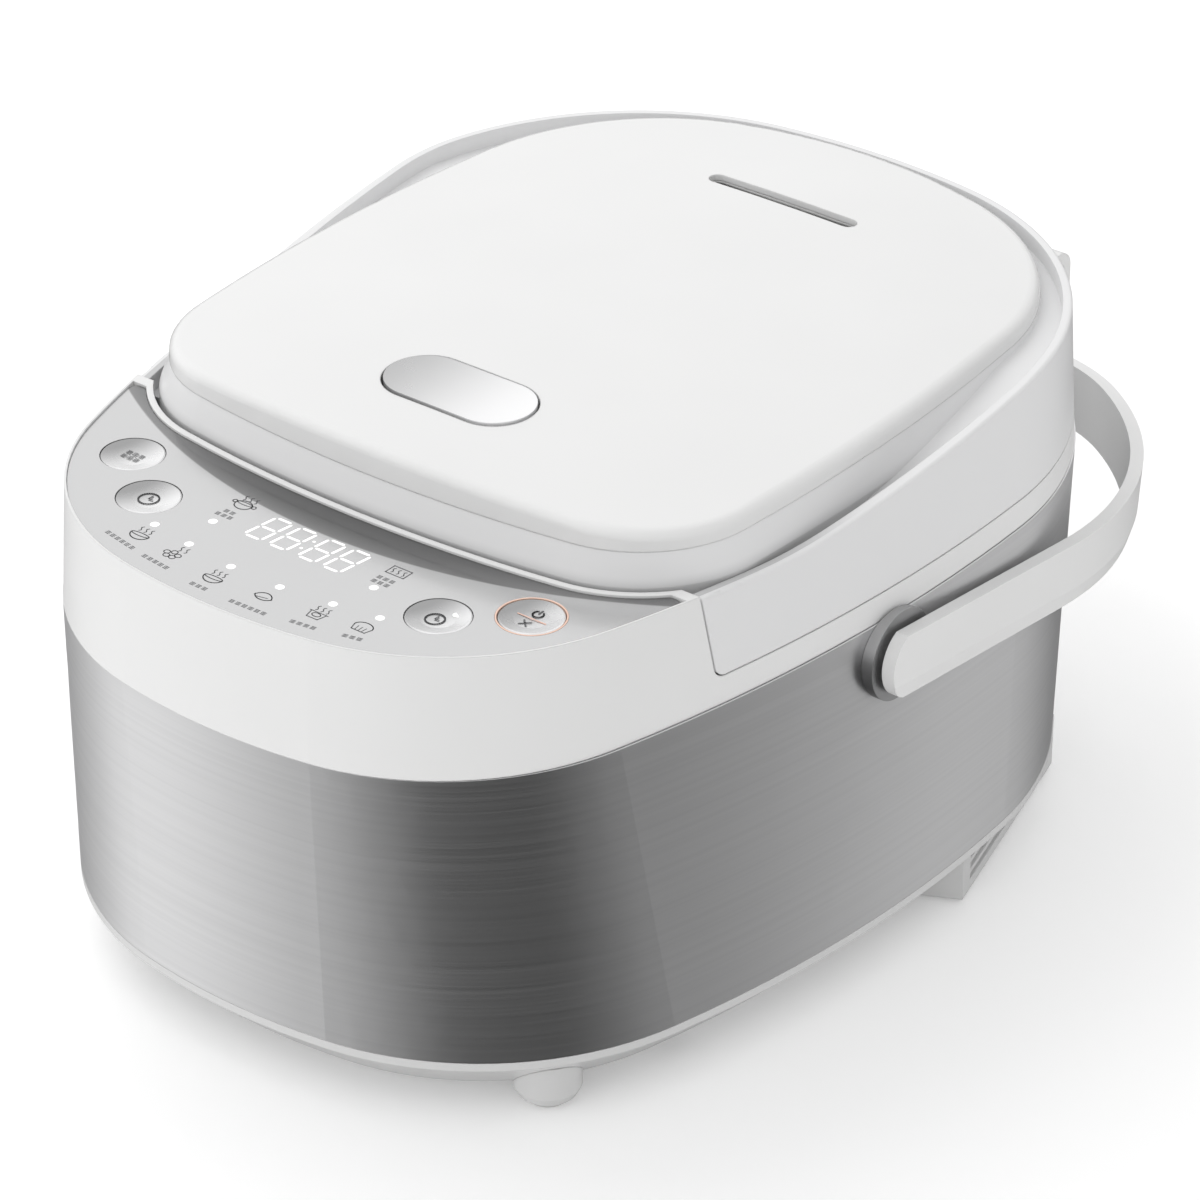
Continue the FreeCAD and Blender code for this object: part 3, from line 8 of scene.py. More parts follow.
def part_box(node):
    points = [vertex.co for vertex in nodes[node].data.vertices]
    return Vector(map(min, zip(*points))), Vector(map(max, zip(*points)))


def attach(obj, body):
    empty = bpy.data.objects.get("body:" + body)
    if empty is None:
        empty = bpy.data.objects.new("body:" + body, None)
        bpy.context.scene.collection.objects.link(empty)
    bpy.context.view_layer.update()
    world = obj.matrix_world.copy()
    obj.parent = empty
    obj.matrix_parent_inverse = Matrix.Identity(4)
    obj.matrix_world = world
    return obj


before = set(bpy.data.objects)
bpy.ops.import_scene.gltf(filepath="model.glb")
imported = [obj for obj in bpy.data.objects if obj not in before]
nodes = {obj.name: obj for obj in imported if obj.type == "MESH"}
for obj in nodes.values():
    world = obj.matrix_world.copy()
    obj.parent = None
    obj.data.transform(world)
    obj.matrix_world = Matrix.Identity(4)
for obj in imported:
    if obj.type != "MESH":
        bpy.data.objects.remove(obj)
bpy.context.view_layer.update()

# The cooker is laid out, in millimetres, from a line 8.8 mm in front of the frame's origin.
DATUM = -0.0088
PANEL_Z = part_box("panel_overlay")[1][2]


# ---------------------------------------------------------------- camera
def make_camera():
    """A long lens from the front right and above, level, aimed at the middle of the body."""
    azimuth, elevation = math.radians(38.00776), math.radians(30.95455)
    distance = 1.9
    target = Vector((-0.00123, 0.00564 + DATUM, 0.08772))
    level = math.cos(elevation)
    back = Vector((math.sin(azimuth) * level, -math.cos(azimuth) * level, math.sin(elevation)))
    right = Vector((math.cos(azimuth), math.sin(azimuth), 0.0))
    up = back.cross(right)
    data = bpy.data.cameras.new("camera")
    data.sensor_width = 36.0
    data.lens = 156.9
    data.clip_end = 50.0
    camera = bpy.data.objects.new("camera", data)
    turn = Matrix((right, up, back)).transposed().to_4x4()
    camera.matrix_world = Matrix.Translation(target + distance * back) @ turn
    bpy.context.collection.objects.link(camera)
    bpy.context.scene.camera = camera


make_camera()


# ---------------------------------------------------------------- materials
# Radii of softened edges and depths of surface relief, in metres.
EDGE_PLASTIC = 0.0006
EDGE_METAL = 0.0003
GRAIN_PLASTIC = 0.00002
GRAIN_FINE = 0.000004
RELIEF_METAL = 0.000006


def fill_ramp(ramp, stops):
    """Set a colour ramp's stops, given as (position, colour)."""
    while len(ramp.elements) < len(stops):
        ramp.elements.new(0.5)
    for element, (where, color) in zip(ramp.elements, stops):
        element.position = where
        element.color = (*color, 1.0)


def scaled(color, factor):
    """The colour, darker or lighter by the factor."""
    return tuple(min(c * factor, 1) for c in color)


class Shader:
    """A node material with short helpers for the textures used here."""

    def __init__(self, name, color, roughness, metallic=0.0, **sockets):
        self.material = bpy.data.materials.new(name)
        self.material.use_nodes = True
        self.tree = self.material.node_tree
        self.bsdf = self.tree.nodes["Principled BSDF"]
        self.bsdf.inputs["Base Color"].default_value = (*color, 1.0)
        self.bsdf.inputs["Roughness"].default_value = roughness
        self.bsdf.inputs["Metallic"].default_value = metallic
        for socket, value in sockets.items():
            self.bsdf.inputs[socket.replace("_", " ")].default_value = value
        self.material.diffuse_color = (*color, 1.0)
        self.coords = self.node("ShaderNodeTexCoord").outputs["Object"]

    def node(self, kind, **values):
        made = self.tree.nodes.new(kind)
        for key, value in values.items():
            setattr(made, key, value)
        return made

    def link(self, a, b):
        self.tree.links.new(a, b)

    def noise(self, scale, stretch=(1, 1, 1), detail=3.0):
        mapping = self.node("ShaderNodeMapping")
        mapping.inputs["Scale"].default_value = stretch
        texture = self.node("ShaderNodeTexNoise")
        texture.inputs["Scale"].default_value = scale
        texture.inputs["Detail"].default_value = detail
        self.link(self.coords, mapping.inputs["Vector"])
        self.link(mapping.outputs["Vector"], texture.inputs["Vector"])
        return texture.outputs["Fac"]

    def spread(self, value, low, high, start=0.3, end=0.7):
        """The value, which runs from start to end, as a number from low to high."""
        ranged = self.node("ShaderNodeMapRange")
        for socket, number in (("From Min", start), ("From Max", end), ("To Min", low), ("To Max", high)):
            ranged.inputs[socket].default_value = number
        self.link(value, ranged.inputs["Value"])
        return ranged.outputs["Result"]

    def roughness(self, value, low, high):
        self.link(self.spread(value, low, high), self.bsdf.inputs["Roughness"])

    def color_ramp(self, value, stops, blend="LINEAR"):
        """Base colour that follows the value; stops are (value, colour)."""
        ramp = self.node("ShaderNodeValToRGB")
        ramp.color_ramp.interpolation = blend
        fill_ramp(ramp.color_ramp, stops)
        self.link(value, ramp.inputs["Fac"])
        self.link(ramp.outputs["Color"], self.bsdf.inputs["Base Color"])

    def tint(self, value, dark, light):
        self.color_ramp(value, ((0.3, dark), (0.7, light)))

    def graded(self, value, stops, blend="B_SPLINE"):
        """Base colour in greys that follow the value; stops are (value, grey)."""
        self.color_ramp(value, [(where, (grey, grey, grey * 1.005)) for where, grey in stops], blend)

    def math(self, operation, a, b=0.0, c=0.0):
        made = self.node("ShaderNodeMath", operation=operation)
        for place, value in enumerate((a, b, c)):
            if isinstance(value, float):
                made.inputs[place].default_value = value
            else:
                self.link(value, made.inputs[place])
        return made.outputs["Value"]

    def across(self, x_share, y_share):
        """Place across the piece's own box, 0 to 1 from left to right and front to back."""
        split = self.node("ShaderNodeSeparateXYZ")
        self.link(self.node("ShaderNodeTexCoord").outputs["Generated"], split.inputs["Vector"])
        along = self.math("MULTIPLY", split.outputs["X"], x_share)
        return self.math("MULTIPLY_ADD", split.outputs["Y"], y_share, along)

    def places(self):
        """The three coordinates of the shaded point, in metres of the scene."""
        split = self.node("ShaderNodeSeparateXYZ")
        self.link(self.coords, split.inputs["Vector"])
        return [split.outputs[axis] for axis in "XYZ"]

    def bump(self, value, distance, strength, edge=None):
        """Relief from the value; with an edge radius, corners are softened as well."""
        made = self.node("ShaderNodeBump")
        made.inputs["Distance"].default_value = distance
        made.inputs["Strength"].default_value = strength
        self.link(value, made.inputs["Height"])
        if edge is not None:
            bevel = self.node("ShaderNodeBevel", samples=8)
            bevel.inputs["Radius"].default_value = edge
            self.link(bevel.outputs["Normal"], made.inputs["Normal"])
        self.link(made.outputs["Normal"], self.bsdf.inputs["Normal"])


def moulded(name, color, rough, grain=GRAIN_PLASTIC, edge=EDGE_PLASTIC, **sockets):
    """Injection-moulded plastic: faint flow marks, fine spark-erosion grain, softened edges."""
    shader = Shader(name, color, rough, **sockets)
    shader.tint(shader.noise(14, detail=2), scaled(color, 0.985), scaled(color, 1.008))
    shader.roughness(shader.noise(60, detail=4), rough * 0.88, rough * 1.12)
    shader.bump(shader.noise(3200, detail=1), grain, 0.5, edge)
    return shader.material


def brushed(name, color, rough, stretch, tangent_axis="Z", anisotropy=0.2):
    """Metal brushed in long fine lines along the directions of small stretch."""
    shader = Shader(name, color, rough, 1.0, Anisotropic=anisotropy, Anisotropic_Rotation=0.25)
    fine = shader.noise(1.0, stretch, 6)
    broad = shader.noise(1.0, tuple(s * 0.22 for s in stretch), 3)
    shader.tint(broad, scaled(color, 0.975), scaled(color, 1.025))
    shader.roughness(fine, rough * 0.9, rough * 1.12)
    shader.bump(fine, RELIEF_METAL, 0.7, EDGE_METAL)
    tangent = shader.node("ShaderNodeTangent", direction_type="RADIAL", axis=tangent_axis)
    shader.link(tangent.outputs["Tangent"], shader.bsdf.inputs["Tangent"])
    return shader.material


def lacquered(name, color, rough, stops, y_share=0.0):
    """Satin metallic lacquer with fine flake, and painted shade: deeper in tone on the side that faces away
    from the light.
    """
    shader = Shader(name, color, rough, 0.7, Coat_Weight=0.25, Coat_Roughness=0.15)
    flake = shader.noise(5200, detail=1)
    scatter = 0.05
    # Painted shade: a gradient across the piece's box, with the flake scattered over it.
    grain = shader.math("MULTIPLY_ADD", flake, scatter, shader.across(1.0 - abs(y_share), y_share))
    shader.graded(shader.math("SUBTRACT", grain, scatter / 2), stops)
    shader.roughness(shader.noise(90, detail=3), rough * 0.9, rough * 1.1)
    shader.bump(flake, RELIEF_METAL, 0.4, EDGE_METAL)
    return shader.material


def panel_material():
    """Silver lacquer under clear gloss; a dark crescent of painted reflection and shade, standing for the
    lid's shaded wall seen in the gloss, lies between an arc and the lip of the lid.
    """
    arc_y, arc_radius, fade, line = 0.0795, 0.225, 0.015, 0.0004
    shader = Shader("silver_panel", (0.66, 0.66, 0.665), 0.2, 0.8, Coat_Weight=0.4, Coat_Roughness=0.05)
    x, back, _ = shader.places()
    y = shader.math("SUBTRACT", back, arc_y + DATUM)
    square = shader.math("ADD", shader.math("MULTIPLY", x, x), shader.math("MULTIPLY", y, y))
    reach = shader.math("SQRT", square)
    # Painted shade: the colour is darkest next to the lip, greyer towards the arc, and plain silver past a
    # sharp rim at the arc.
    inside = shader.spread(reach, 0.0, 0.4, arc_radius - fade, arc_radius)
    outside = shader.spread(reach, 0.0, 0.6, arc_radius - line, arc_radius + line)
    flake = shader.noise(6200, detail=1)
    shader.graded(shader.math("MULTIPLY_ADD", flake, 0.04, shader.math("ADD", inside, outside)),
                  ((0.0, 0.10), (0.2, 0.15), (0.4, 0.25), (1.0, 0.64)), "LINEAR")
    shader.roughness(shader.noise(45, detail=4), 0.17, 0.24)
    shader.bump(shader.noise(700, detail=2), 0.000002, 0.3, 0.0002)
    return shader.material


def lid_material():
    """White shell plastic, with deep painted shade where the tier of the lid goes down behind the lip."""
    side_radius, side_y, side_x = 0.618, 0.0468, 0.4778
    shade_low, shade_high = 0.1790, 0.1895
    shader = Shader("lid_white", (0.80, 0.80, 0.797), 0.32, Coat_Weight=0.12, Coat_Roughness=0.22)
    across, back, high = shader.places()
    # What lies outside the arc of the body's side is the flank, and gets no painted shade; neither does the
    # rear.
    run = shader.math("SUBTRACT", back, side_y + DATUM)
    chord = shader.math("SUBTRACT", side_radius ** 2, shader.math("MULTIPLY", run, run))
    limit = shader.math("SUBTRACT", shader.math("SQRT", chord), side_x)
    flank = shader.math("GREATER_THAN", shader.math("ABSOLUTE", across), limit)
    skirt = shader.math("MAXIMUM", flank, shader.spread(back, 0.0, 1.0, 0.0, 0.05))
    # Painted shade: a dark band round the front of the tier between shade_low and shade_high, darkest
    # midway; faint flow marks are added on top.
    light = shader.math("MAXIMUM", skirt, shader.spread(high, 0.0, 1.0, shade_low, shade_high))
    flow_and_painted_shade = shader.math("MULTIPLY_ADD", shader.noise(14, detail=2), 0.02, light)
    shader.graded(flow_and_painted_shade, ((0.0, 0.80), (0.25, 0.76), (0.50, 0.46), (0.75, 0.70), (1.0, 0.80)))
    shader.roughness(shader.noise(60, detail=4), 0.28, 0.36)
    shader.bump(shader.noise(3200, detail=1), GRAIN_PLASTIC, 0.5, EDGE_PLASTIC)
    return shader.material


def spun_material():
    """Aluminium turned on a lathe: a close even grain with no direction that shows."""
    shader = Shader("spun_aluminium", (0.78, 0.78, 0.785), 0.3, 1.0)
    shader.tint(shader.noise(2600, detail=2), (0.74, 0.74, 0.745), (0.80, 0.80, 0.805))
    shader.roughness(shader.noise(900, detail=3), 0.26, 0.34)
    shader.bump(shader.noise(2200, detail=2), GRAIN_FINE, 0.3, 0.0004)
    return shader.material


def coating_material():
    """Dark non-stick coating with fine pale specks."""
    shader = Shader("pot_coating", (0.055, 0.055, 0.058), 0.36, 0.15, Coat_Weight=0.2, Coat_Roughness=0.3)
    speck = shader.noise(2400, detail=1)
    shader.tint(speck, (0.045, 0.045, 0.048), (0.10, 0.10, 0.105))
    shader.roughness(shader.noise(180, detail=4), 0.3, 0.44)
    shader.bump(speck, 0.00003, 0.4, 0.0005)
    return shader.material


WHITE = moulded("white_shell", (0.80, 0.80, 0.797), 0.32, Coat_Weight=0.12, Coat_Roughness=0.22)
COVER = moulded("white_cover", (0.79, 0.79, 0.788), 0.22, grain=0.000006, edge=0.0009,
                Coat_Weight=0.3, Coat_Roughness=0.08)
# Base and feet: the body's white plastic, set to a darker grey as painted shade for the shaded underside.
BASE_PAINTED_SHADE = moulded("base_white_painted_shade", (0.66, 0.66, 0.658), 0.36)
HANDLE = moulded("handle_shell", (0.80, 0.80, 0.797), 0.34, grain=GRAIN_FINE, edge=None)
STEEL = brushed("steel_band", (0.80, 0.80, 0.805), 0.35, (7, 7, 2600), anisotropy=0.55)
# Pivot bosses: a real part, but its dark grey is painted shadow, standing for the arm's shadow on the steel
# round each pivot.
BOSS_PAINTED_SHADOW = brushed("pivot_boss", (0.46, 0.46, 0.465), 0.42, (900, 40, 900), "X", 0.3)
LID = lid_material()
PANEL = panel_material()
# Keys and lid button: painted shade, running from dark at one side of each piece to light at the other.
KEY = lacquered("silver_key", (0.74, 0.745, 0.75), 0.26,
                ((0.0, 0.30), (0.22, 0.62), (0.45, 0.92), (1.0, 1.0)), -0.25)
BUTTON = lacquered("lid_button_silver", (0.70, 0.705, 0.71), 0.30,
                   ((0.0, 0.46), (0.35, 0.66), (0.7, 0.90), (1.0, 0.98)))
SALMON = moulded("salmon_ring", (0.90, 0.62, 0.50), 0.2, grain=GRAIN_FINE, edge=0.0002)
DARK = moulded("dark_part", (0.03, 0.03, 0.032), 0.42)
BOARD = moulded("circuit_board", (0.05, 0.24, 0.11), 0.35, grain=0.00003)
CORE = brushed("transformer_core", (0.20, 0.17, 0.13), 0.45, (2200, 30, 30), "X")
RUBBER = moulded("soft_rubber", (0.62, 0.62, 0.61), 0.6, grain=0.00005)
WIRE = moulded("wire_cover", (0.78, 0.77, 0.73), 0.45)
ALUMINIUM = brushed("inner_aluminium", (0.76, 0.76, 0.77), 0.30, (60, 60, 2600), anisotropy=0.3)
SPUN = spun_material()
PLATED = brushed("plated_steel", (0.58, 0.58, 0.59), 0.33, (300, 300, 900))
BRASS = brushed("brass_pin", (0.74, 0.58, 0.28), 0.25, (400, 60, 400), "Y")
LENS = moulded("lamp_lens", (0.93, 0.93, 0.91), 0.18, grain=GRAIN_FINE, edge=0.0002,
               Transmission_Weight=0.25)
COATING = coating_material()

FINISH = (
    (BASE_PAINTED_SHADE, ("base_shell", "front_foot_right", "front_foot_left", "rear_foot_right", "rear_foot_left")),
    (STEEL, ("steel_band",)),
    (WHITE, ("upper_housing", "button_well", "lid_liner", "steam_duct", "latch_hook", "pivot_nuts")),
    (LID, ("lid_shell",)),
    (COVER, ("lid_cover",)),
    (HANDLE, ("handle",)),
    (BOSS_PAINTED_SHADOW, ("pivot_boss_right", "pivot_boss_left")),
    (PANEL, ("panel_overlay",)),
    (KEY, ("key_menu", "key_time", "key_booking", "key_start")),
    (BUTTON, ("lid_button",)),
    (SALMON, ("start_key_ring",)),
    (LENS, ("indicator_lights",)),
    (RUBBER, ("foot_pads", "lid_seal")),
    (BOARD, ("control_board", "power_board")),
    (DARK, ("tact_switches", "display_module", "relay", "capacitor", "power_inlet")),
    (CORE, ("transformer",)),
    (BRASS, ("inlet_pins",)),
    (WIRE, ("thermal_fuse", "mains_lead", "heater_lead", "panel_lead", "lid_lead")),
    (SPUN, ("inner_lid", "heating_plate", "sensor_cap")),
    (ALUMINIUM, ("lid_thermistor",)),
    (COATING, ("inner_pot",)),
    (PLATED, ("board_screws", "base_screws", "power_board_screws", "lid_screws", "pivot_screws",
              "inner_casing", "heating_element", "plate_stands", "sensor_holder", "sensor_spring",
              "button_spring", "hinge_pin", "hinge_springs", "latch_pin")),
)
for material, names in FINISH:
    for name in names:
        slots = nodes[name].material_slots
        if not slots:
            nodes[name].data.materials.append(material)
        for place in slots:
            place.material = material


# ---------------------------------------------------------------- printed marks and lit segments
def printed(name, color, rough, glow=0.0):
    """Screen-printed ink, a little uneven in tone and gloss; a glow makes it read as lit from behind."""
    shader = Shader(name, color, rough)
    shader.tint(shader.noise(900, detail=3), scaled(color, 0.94), scaled(color, 1.05))
    shader.roughness(shader.noise(300, detail=2), rough * 0.85, rough * 1.15)
    if glow:
        shader.bsdf.inputs["Emission Color"].default_value = (*color, 1.0)
        shader.bsdf.inputs["Emission Strength"].default_value = glow
    return shader.material


INK = printed("panel_ink", (0.10, 0.10, 0.105), 0.4)
INK_SOFT = printed("panel_ink_soft", (0.12, 0.12, 0.125), 0.4)
GLOW = printed("lit_white", (0.95, 0.95, 0.94), 0.3, 0.25)
PINK = printed("salmon_ink", (0.85, 0.55, 0.45), 0.4)


class Decal:
    """Flat printed shapes gathered into one thin mesh on a level surface."""

    def __init__(self, z, thickness=0.00004):
        self.mesh = bmesh.new()
        self.z = z
        self.thickness = thickness

    def face(self, outline):
        """A raised plate with the given outline, in millimetres of the layout, open underneath."""
        spots = [(x / 1000, y / 1000 + DATUM) for x, y in outline]
        low = [self.mesh.verts.new((x, y, self.z)) for x, y in spots]
        high = [self.mesh.verts.new((x, y, self.z + self.thickness)) for x, y in spots]
        self.mesh.faces.new(high)
        for i in range(len(outline)):
            j = (i + 1) % len(outline)
            self.mesh.faces.new((low[i], low[j], high[j], high[i]))

    def stroke(self, points, width, closed=False):
        """A line of even width through the points; the bars overlap a little where they meet."""
        overlap = 0.7
        count = len(points)
        last = count if closed else count - 1
        for i in range(last):
            (x0, y0), (x1, y1) = points[i], points[(i + 1) % count]
            length = math.hypot(x1 - x0, y1 - y0)
            if length < 1e-6:
                continue
            ux, uy = (x1 - x0) / length * width / 2, (y1 - y0) / length * width / 2
            x0, y0 = x0 - ux * overlap, y0 - uy * overlap
            x1, y1 = x1 + ux * overlap, y1 + uy * overlap
            self.face([(x0 + uy, y0 - ux), (x1 + uy, y1 - ux), (x1 - uy, y1 + ux), (x0 - uy, y0 + ux)])

    def pill(self, x, y, long, short, angle=0.0):
        """A bar with round ends."""
        corners = 24
        c, s = math.cos(angle), math.sin(angle)
        half = (long - short) / 2
        outline = []
        for k in range(corners):
            a = 2 * math.pi * k / corners
            u = math.cos(a) * short / 2 + math.copysign(half, math.cos(a))
            v = math.sin(a) * short / 2
            outline.append((x + u * c - v * s, y + u * s + v * c))
        self.face(outline)

    def finish(self, name, material, body):
        """Turn the shapes into one piece that rides on the body."""
        bmesh.ops.recalc_face_normals(self.mesh, faces=self.mesh.faces)
        data = bpy.data.meshes.new(name)
        self.mesh.to_mesh(data)
        self.mesh.free()
        data.materials.append(material)
        made = bpy.data.objects.new(name, data)
        bpy.context.collection.objects.link(made)
        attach(made, body)


def ellipse(x, y, rx, ry, start=0.0, end=360.0, steps=20):
    """Points along an arc of an ellipse, with its angles in degrees."""
    span = [math.radians(start + (end - start) * k / steps) for k in range(steps + 1)]
    return [(x + rx * math.cos(a), y + ry * math.sin(a)) for a in span]


# Each icon is a generic line drawing, centred on (x, y), and its parts are shares of its size.
def steam(decal, x, y, size, count=3):
    """Small wavy lines rising off a dish."""
    for i in range(count):
        x0 = x + (i - (count - 1) / 2) * size * 0.3
        wave = [(x0 + math.sin(k * 1.3) * size * 0.06, y + k * size * 0.075) for k in range(6)]
        decal.stroke(wave, 0.35)


def icon_bowl(decal, x, y, size):
    decal.stroke(ellipse(x, y, size * 0.5, size * 0.42, 180, 360), 0.45)
    decal.stroke(ellipse(x, y, size * 0.5, size * 0.12), 0.4)
    steam(decal, x, y + size * 0.22, size)


def icon_pot(decal, x, y, size):
    decal.stroke(ellipse(x, y, size * 0.42, size * 0.34), 0.45)
    decal.stroke(ellipse(x, y + size * 0.12, size * 0.42, size * 0.1), 0.35)
    for side in (-1, 1):
        decal.stroke(ellipse(x + side * size * 0.52, y + size * 0.08, size * 0.1, size * 0.1), 0.35)
    steam(decal, x, y + size * 0.34, size)


def icon_grains(decal, x, y, size):
    for dx, dy in ((-0.3, 0), (0, 0.14), (0.3, 0), (-0.15, -0.22), (0.16, -0.22)):
        decal.stroke(ellipse(x + dx * size, y + dy * size, size * 0.15, size * 0.13, steps=12), 0.36)
    steam(decal, x + size * 0.2, y + size * 0.32, size, 2)


def icon_leaf(decal, x, y, size):
    decal.stroke(ellipse(x, y - size * 0.1, size * 0.5, size * 0.55, 20, 160), 0.42)
    decal.stroke(ellipse(x, y + size * 0.28, size * 0.5, size * 0.4, 200, 340), 0.42)
    decal.stroke([(x - size * 0.3, y), (x + size * 0.25, y + size * 0.12)], 0.35)


def icon_steamer(decal, x, y, size):
    decal.stroke([(x - size * 0.42, y + size * 0.2), (x - size * 0.3, y - size * 0.3),
                  (x + size * 0.3, y - size * 0.3), (x + size * 0.42, y + size * 0.2)], 0.42)
    decal.stroke(ellipse(x, y, size * 0.22, size * 0.14), 0.36)
    decal.stroke([(x - size * 0.5, y + size * 0.2), (x + size * 0.5, y + size * 0.2)], 0.36)
    steam(decal, x, y + size * 0.3, size)


def icon_cake(decal, x, y, size):
    decal.stroke(ellipse(x, y + size * 0.08, size * 0.48, size * 0.34, 0, 180), 0.42)
    decal.stroke([(x - size * 0.48, y + size * 0.08), (x - size * 0.36, y - size * 0.3),
                  (x + size * 0.36, y - size * 0.3), (x + size * 0.48, y + size * 0.08)], 0.42)
    for dx in (-0.18, 0, 0.18):
        decal.stroke([(x + dx * size, y - size * 0.26), (x + dx * size * 1.2, y + size * 0.04)], 0.3)


def icon_plate(decal, x, y, size):
    decal.stroke([(x - size * 0.5, y - size * 0.32), (x + size * 0.5, y - size * 0.32),
                  (x + size * 0.5, y + size * 0.32), (x - size * 0.5, y + size * 0.32)], 0.42, True)
    steam(decal, x, y - size * 0.2, size)


def label(decal, x, y, widths, angle=0.0, size=1.9):
    """Rows of plain blocks, each of three short bars, in place of a function's name."""
    pitch, row_step = size * 1.4, 2.9
    c, s = math.cos(angle), math.sin(angle)
    for row, width in enumerate(widths):
        count = max(2, round(width / pitch))
        for k in range(count):
            u = (k - (count - 1) / 2) * pitch
            for rail in (-1, 0, 1):
                v = rail * size * 0.36 - row * row_step
                decal.pill(x + u * c - v * s, y + u * s + v * c, size, size * 0.2, angle)


icons = Decal(PANEL_Z)
icon_pot(icons, -34.5, -147.2, 8.0)
icon_plate(icons, 35.4, -149.0, 7.6)
icon_bowl(icons, -48.6, -183.1, 7.6)
icon_grains(icons, -31.6, -186.0, 8.0)
icon_bowl(icons, -10.5, -189.2, 7.6)
icon_leaf(icons, 10.5, -189.4, 7.6)
icon_steamer(icons, 31.6, -186.4, 7.6)
icon_cake(icons, 48.6, -183.4, 7.6)
icons.finish("panel_icons", INK, "base")

labels = Decal(PANEL_Z)
label(labels, -35.0, -153.6, (6.0, 7.0))
label(labels, 35.0, -155.2, (7.4, 8.4))
FRONT_LABELS = ((-51.5, -190.0, 15.0, -0.20), (-32.6, -193.4, 12.5, -0.12), (-10.8, -196.4, 8.0, -0.03),
                (10.8, -196.6, 15.5, 0.03), (32.2, -193.8, 10.0, 0.12), (50.0, -190.0, 7.5, 0.20))
for x, y, width, angle in FRONT_LABELS:
    label(labels, x, y, (width,), angle)
labels.finish("panel_label_bars", INK_SOFT, "base")


# ---------------------------------------------------------------- seven-segment clock
def digit(decal, x, y):
    """The seven bars of a figure eight, leaning to the right towards the back."""
    bar, gap = 1.15, 0.35
    side, half = DIGIT_WIDE / 2, DIGIT_TALL / 2
    tip, shoulder = gap + bar * 0.3, gap + bar * 0.8

    def at(u, v):
        return (x + u + DIGIT_LEAN * v, y + v)

    for v in (-half, 0.0, half):
        decal.face([at(-side + tip, v), at(-side + shoulder, v + bar / 2), at(side - shoulder, v + bar / 2),
                    at(side - tip, v), at(side - shoulder, v - bar / 2), at(-side + shoulder, v - bar / 2)])
    for u in (-side, side):
        for low, high in ((-half, 0.0), (0.0, half)):
            near, far = low + gap, high - gap
            decal.face([at(u, near), at(u + bar / 2, near + bar / 2), at(u + bar / 2, far - bar / 2),
                        at(u, far), at(u - bar / 2, far - bar / 2), at(u - bar / 2, near + bar / 2)])


CLOCK_Y = -154.0
DIGIT_WIDE, DIGIT_TALL, DIGIT_LEAN = 7.3, 14.6, 0.12
clock = Decal(PANEL_Z)
for x in (-17.2, -6.3, 6.3, 17.2):
    digit(clock, x, CLOCK_Y)
for v in (-2.9, 2.9):
    clock.pill(v * DIGIT_LEAN, CLOCK_Y + v, 1.3, 1.2)
clock.finish("clock_segments", GLOW, "base")

lamps = Decal(PANEL_Z)
for x, y in ((35.3, -161.7), (49.3, -175.2), (31.5, -177.9), (10.7, -180.4)):
    for side in (-1, 1):
        lamps.pill(x * side, y, 3.3, 3.2)
lamps.finish("lamp_windows", GLOW, "base")


# ---------------------------------------------------------------- marks on the keys
def key_mark(name, node, body, draw, material=INK_SOFT):
    """A mark in the dished top of a key, just above the bottom of the dish."""
    dish_depth = 0.00085
    low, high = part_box(node)
    x = (low[0] + high[0]) / 2 * 1000
    y = ((low[1] + high[1]) / 2 - DATUM) * 1000
    mark = Decal(high[2] - dish_depth, 0.00003)
    draw(mark, x, y)
    mark.finish(name, material, body)


def draw_menu(mark, x, y):
    label(mark, x, y + 1.4, (7.4, 7.4), 0.0, 2.0)


def draw_time(mark, x, y):
    mark.stroke(ellipse(x, y, 3.6, 3.6, steps=28), 0.6)
    mark.stroke([(x, y + 2.2), (x, y), (x + 1.7, y)], 0.55)


def draw_booking(mark, x, y):
    mark.stroke(ellipse(x - 0.6, y - 1.0, 3.3, 3.3, steps=28), 0.6)
    mark.stroke([(x - 0.6, y + 1.0), (x - 0.6, y - 1.0), (x + 1.0, y - 1.0)], 0.55)


def draw_lamp(mark, x, y):
    mark.pill(x + 3.6, y + 5.2, 3.0, 2.9)


def draw_divider(mark, x, y):
    mark.pill(x, y, 12.0, 0.5)


def draw_start(mark, x, y):
    mark.stroke(ellipse(x, y + 3.4, 1.9, 1.9, 120, 420, 20), 0.6)
    mark.stroke([(x, y + 3.7), (x, y + 6.0)], 0.55)
    mark.stroke([(x - 1.5, y - 5.0), (x + 1.5, y - 2.0)], 0.6)
    mark.stroke([(x - 1.5, y - 2.0), (x + 1.5, y - 5.0)], 0.6)


key_mark("menu_key_mark", "key_menu", "menu_key", draw_menu)
key_mark("time_key_mark", "key_time", "time_key", draw_time)
key_mark("booking_key_mark", "key_booking", "booking_key", draw_booking)
key_mark("start_key_mark", "key_start", "start_key", draw_start)
key_mark("start_key_divider", "key_start", "start_key", draw_divider, PINK)
key_mark("booking_key_lamp", "key_booking", "booking_key", draw_lamp, GLOW)


# ---------------------------------------------------------------- floor, world and lights
def make_floor():
    """White paper that gives off a little light of its own, so that it stays pale round the shadow."""
    mesh = bmesh.new()
    bmesh.ops.create_grid(mesh, x_segments=8, y_segments=8, size=6.0)
    data = bpy.data.meshes.new("floor")
    mesh.to_mesh(data)
    mesh.free()
    shader = Shader("floor_paper", (0.92, 0.92, 0.92), 0.7, Emission_Strength=0.15)
    shader.bsdf.inputs["Emission Color"].default_value = (1.0, 1.0, 1.0, 1.0)
    shader.bump(shader.noise(400, detail=3), 0.00003, 0.3)
    data.materials.append(shader.material)
    floor = bpy.data.objects.new("floor", data)
    bpy.context.collection.objects.link(floor)
    floor.location.z = -0.0002
    floor.visible_glossy = False


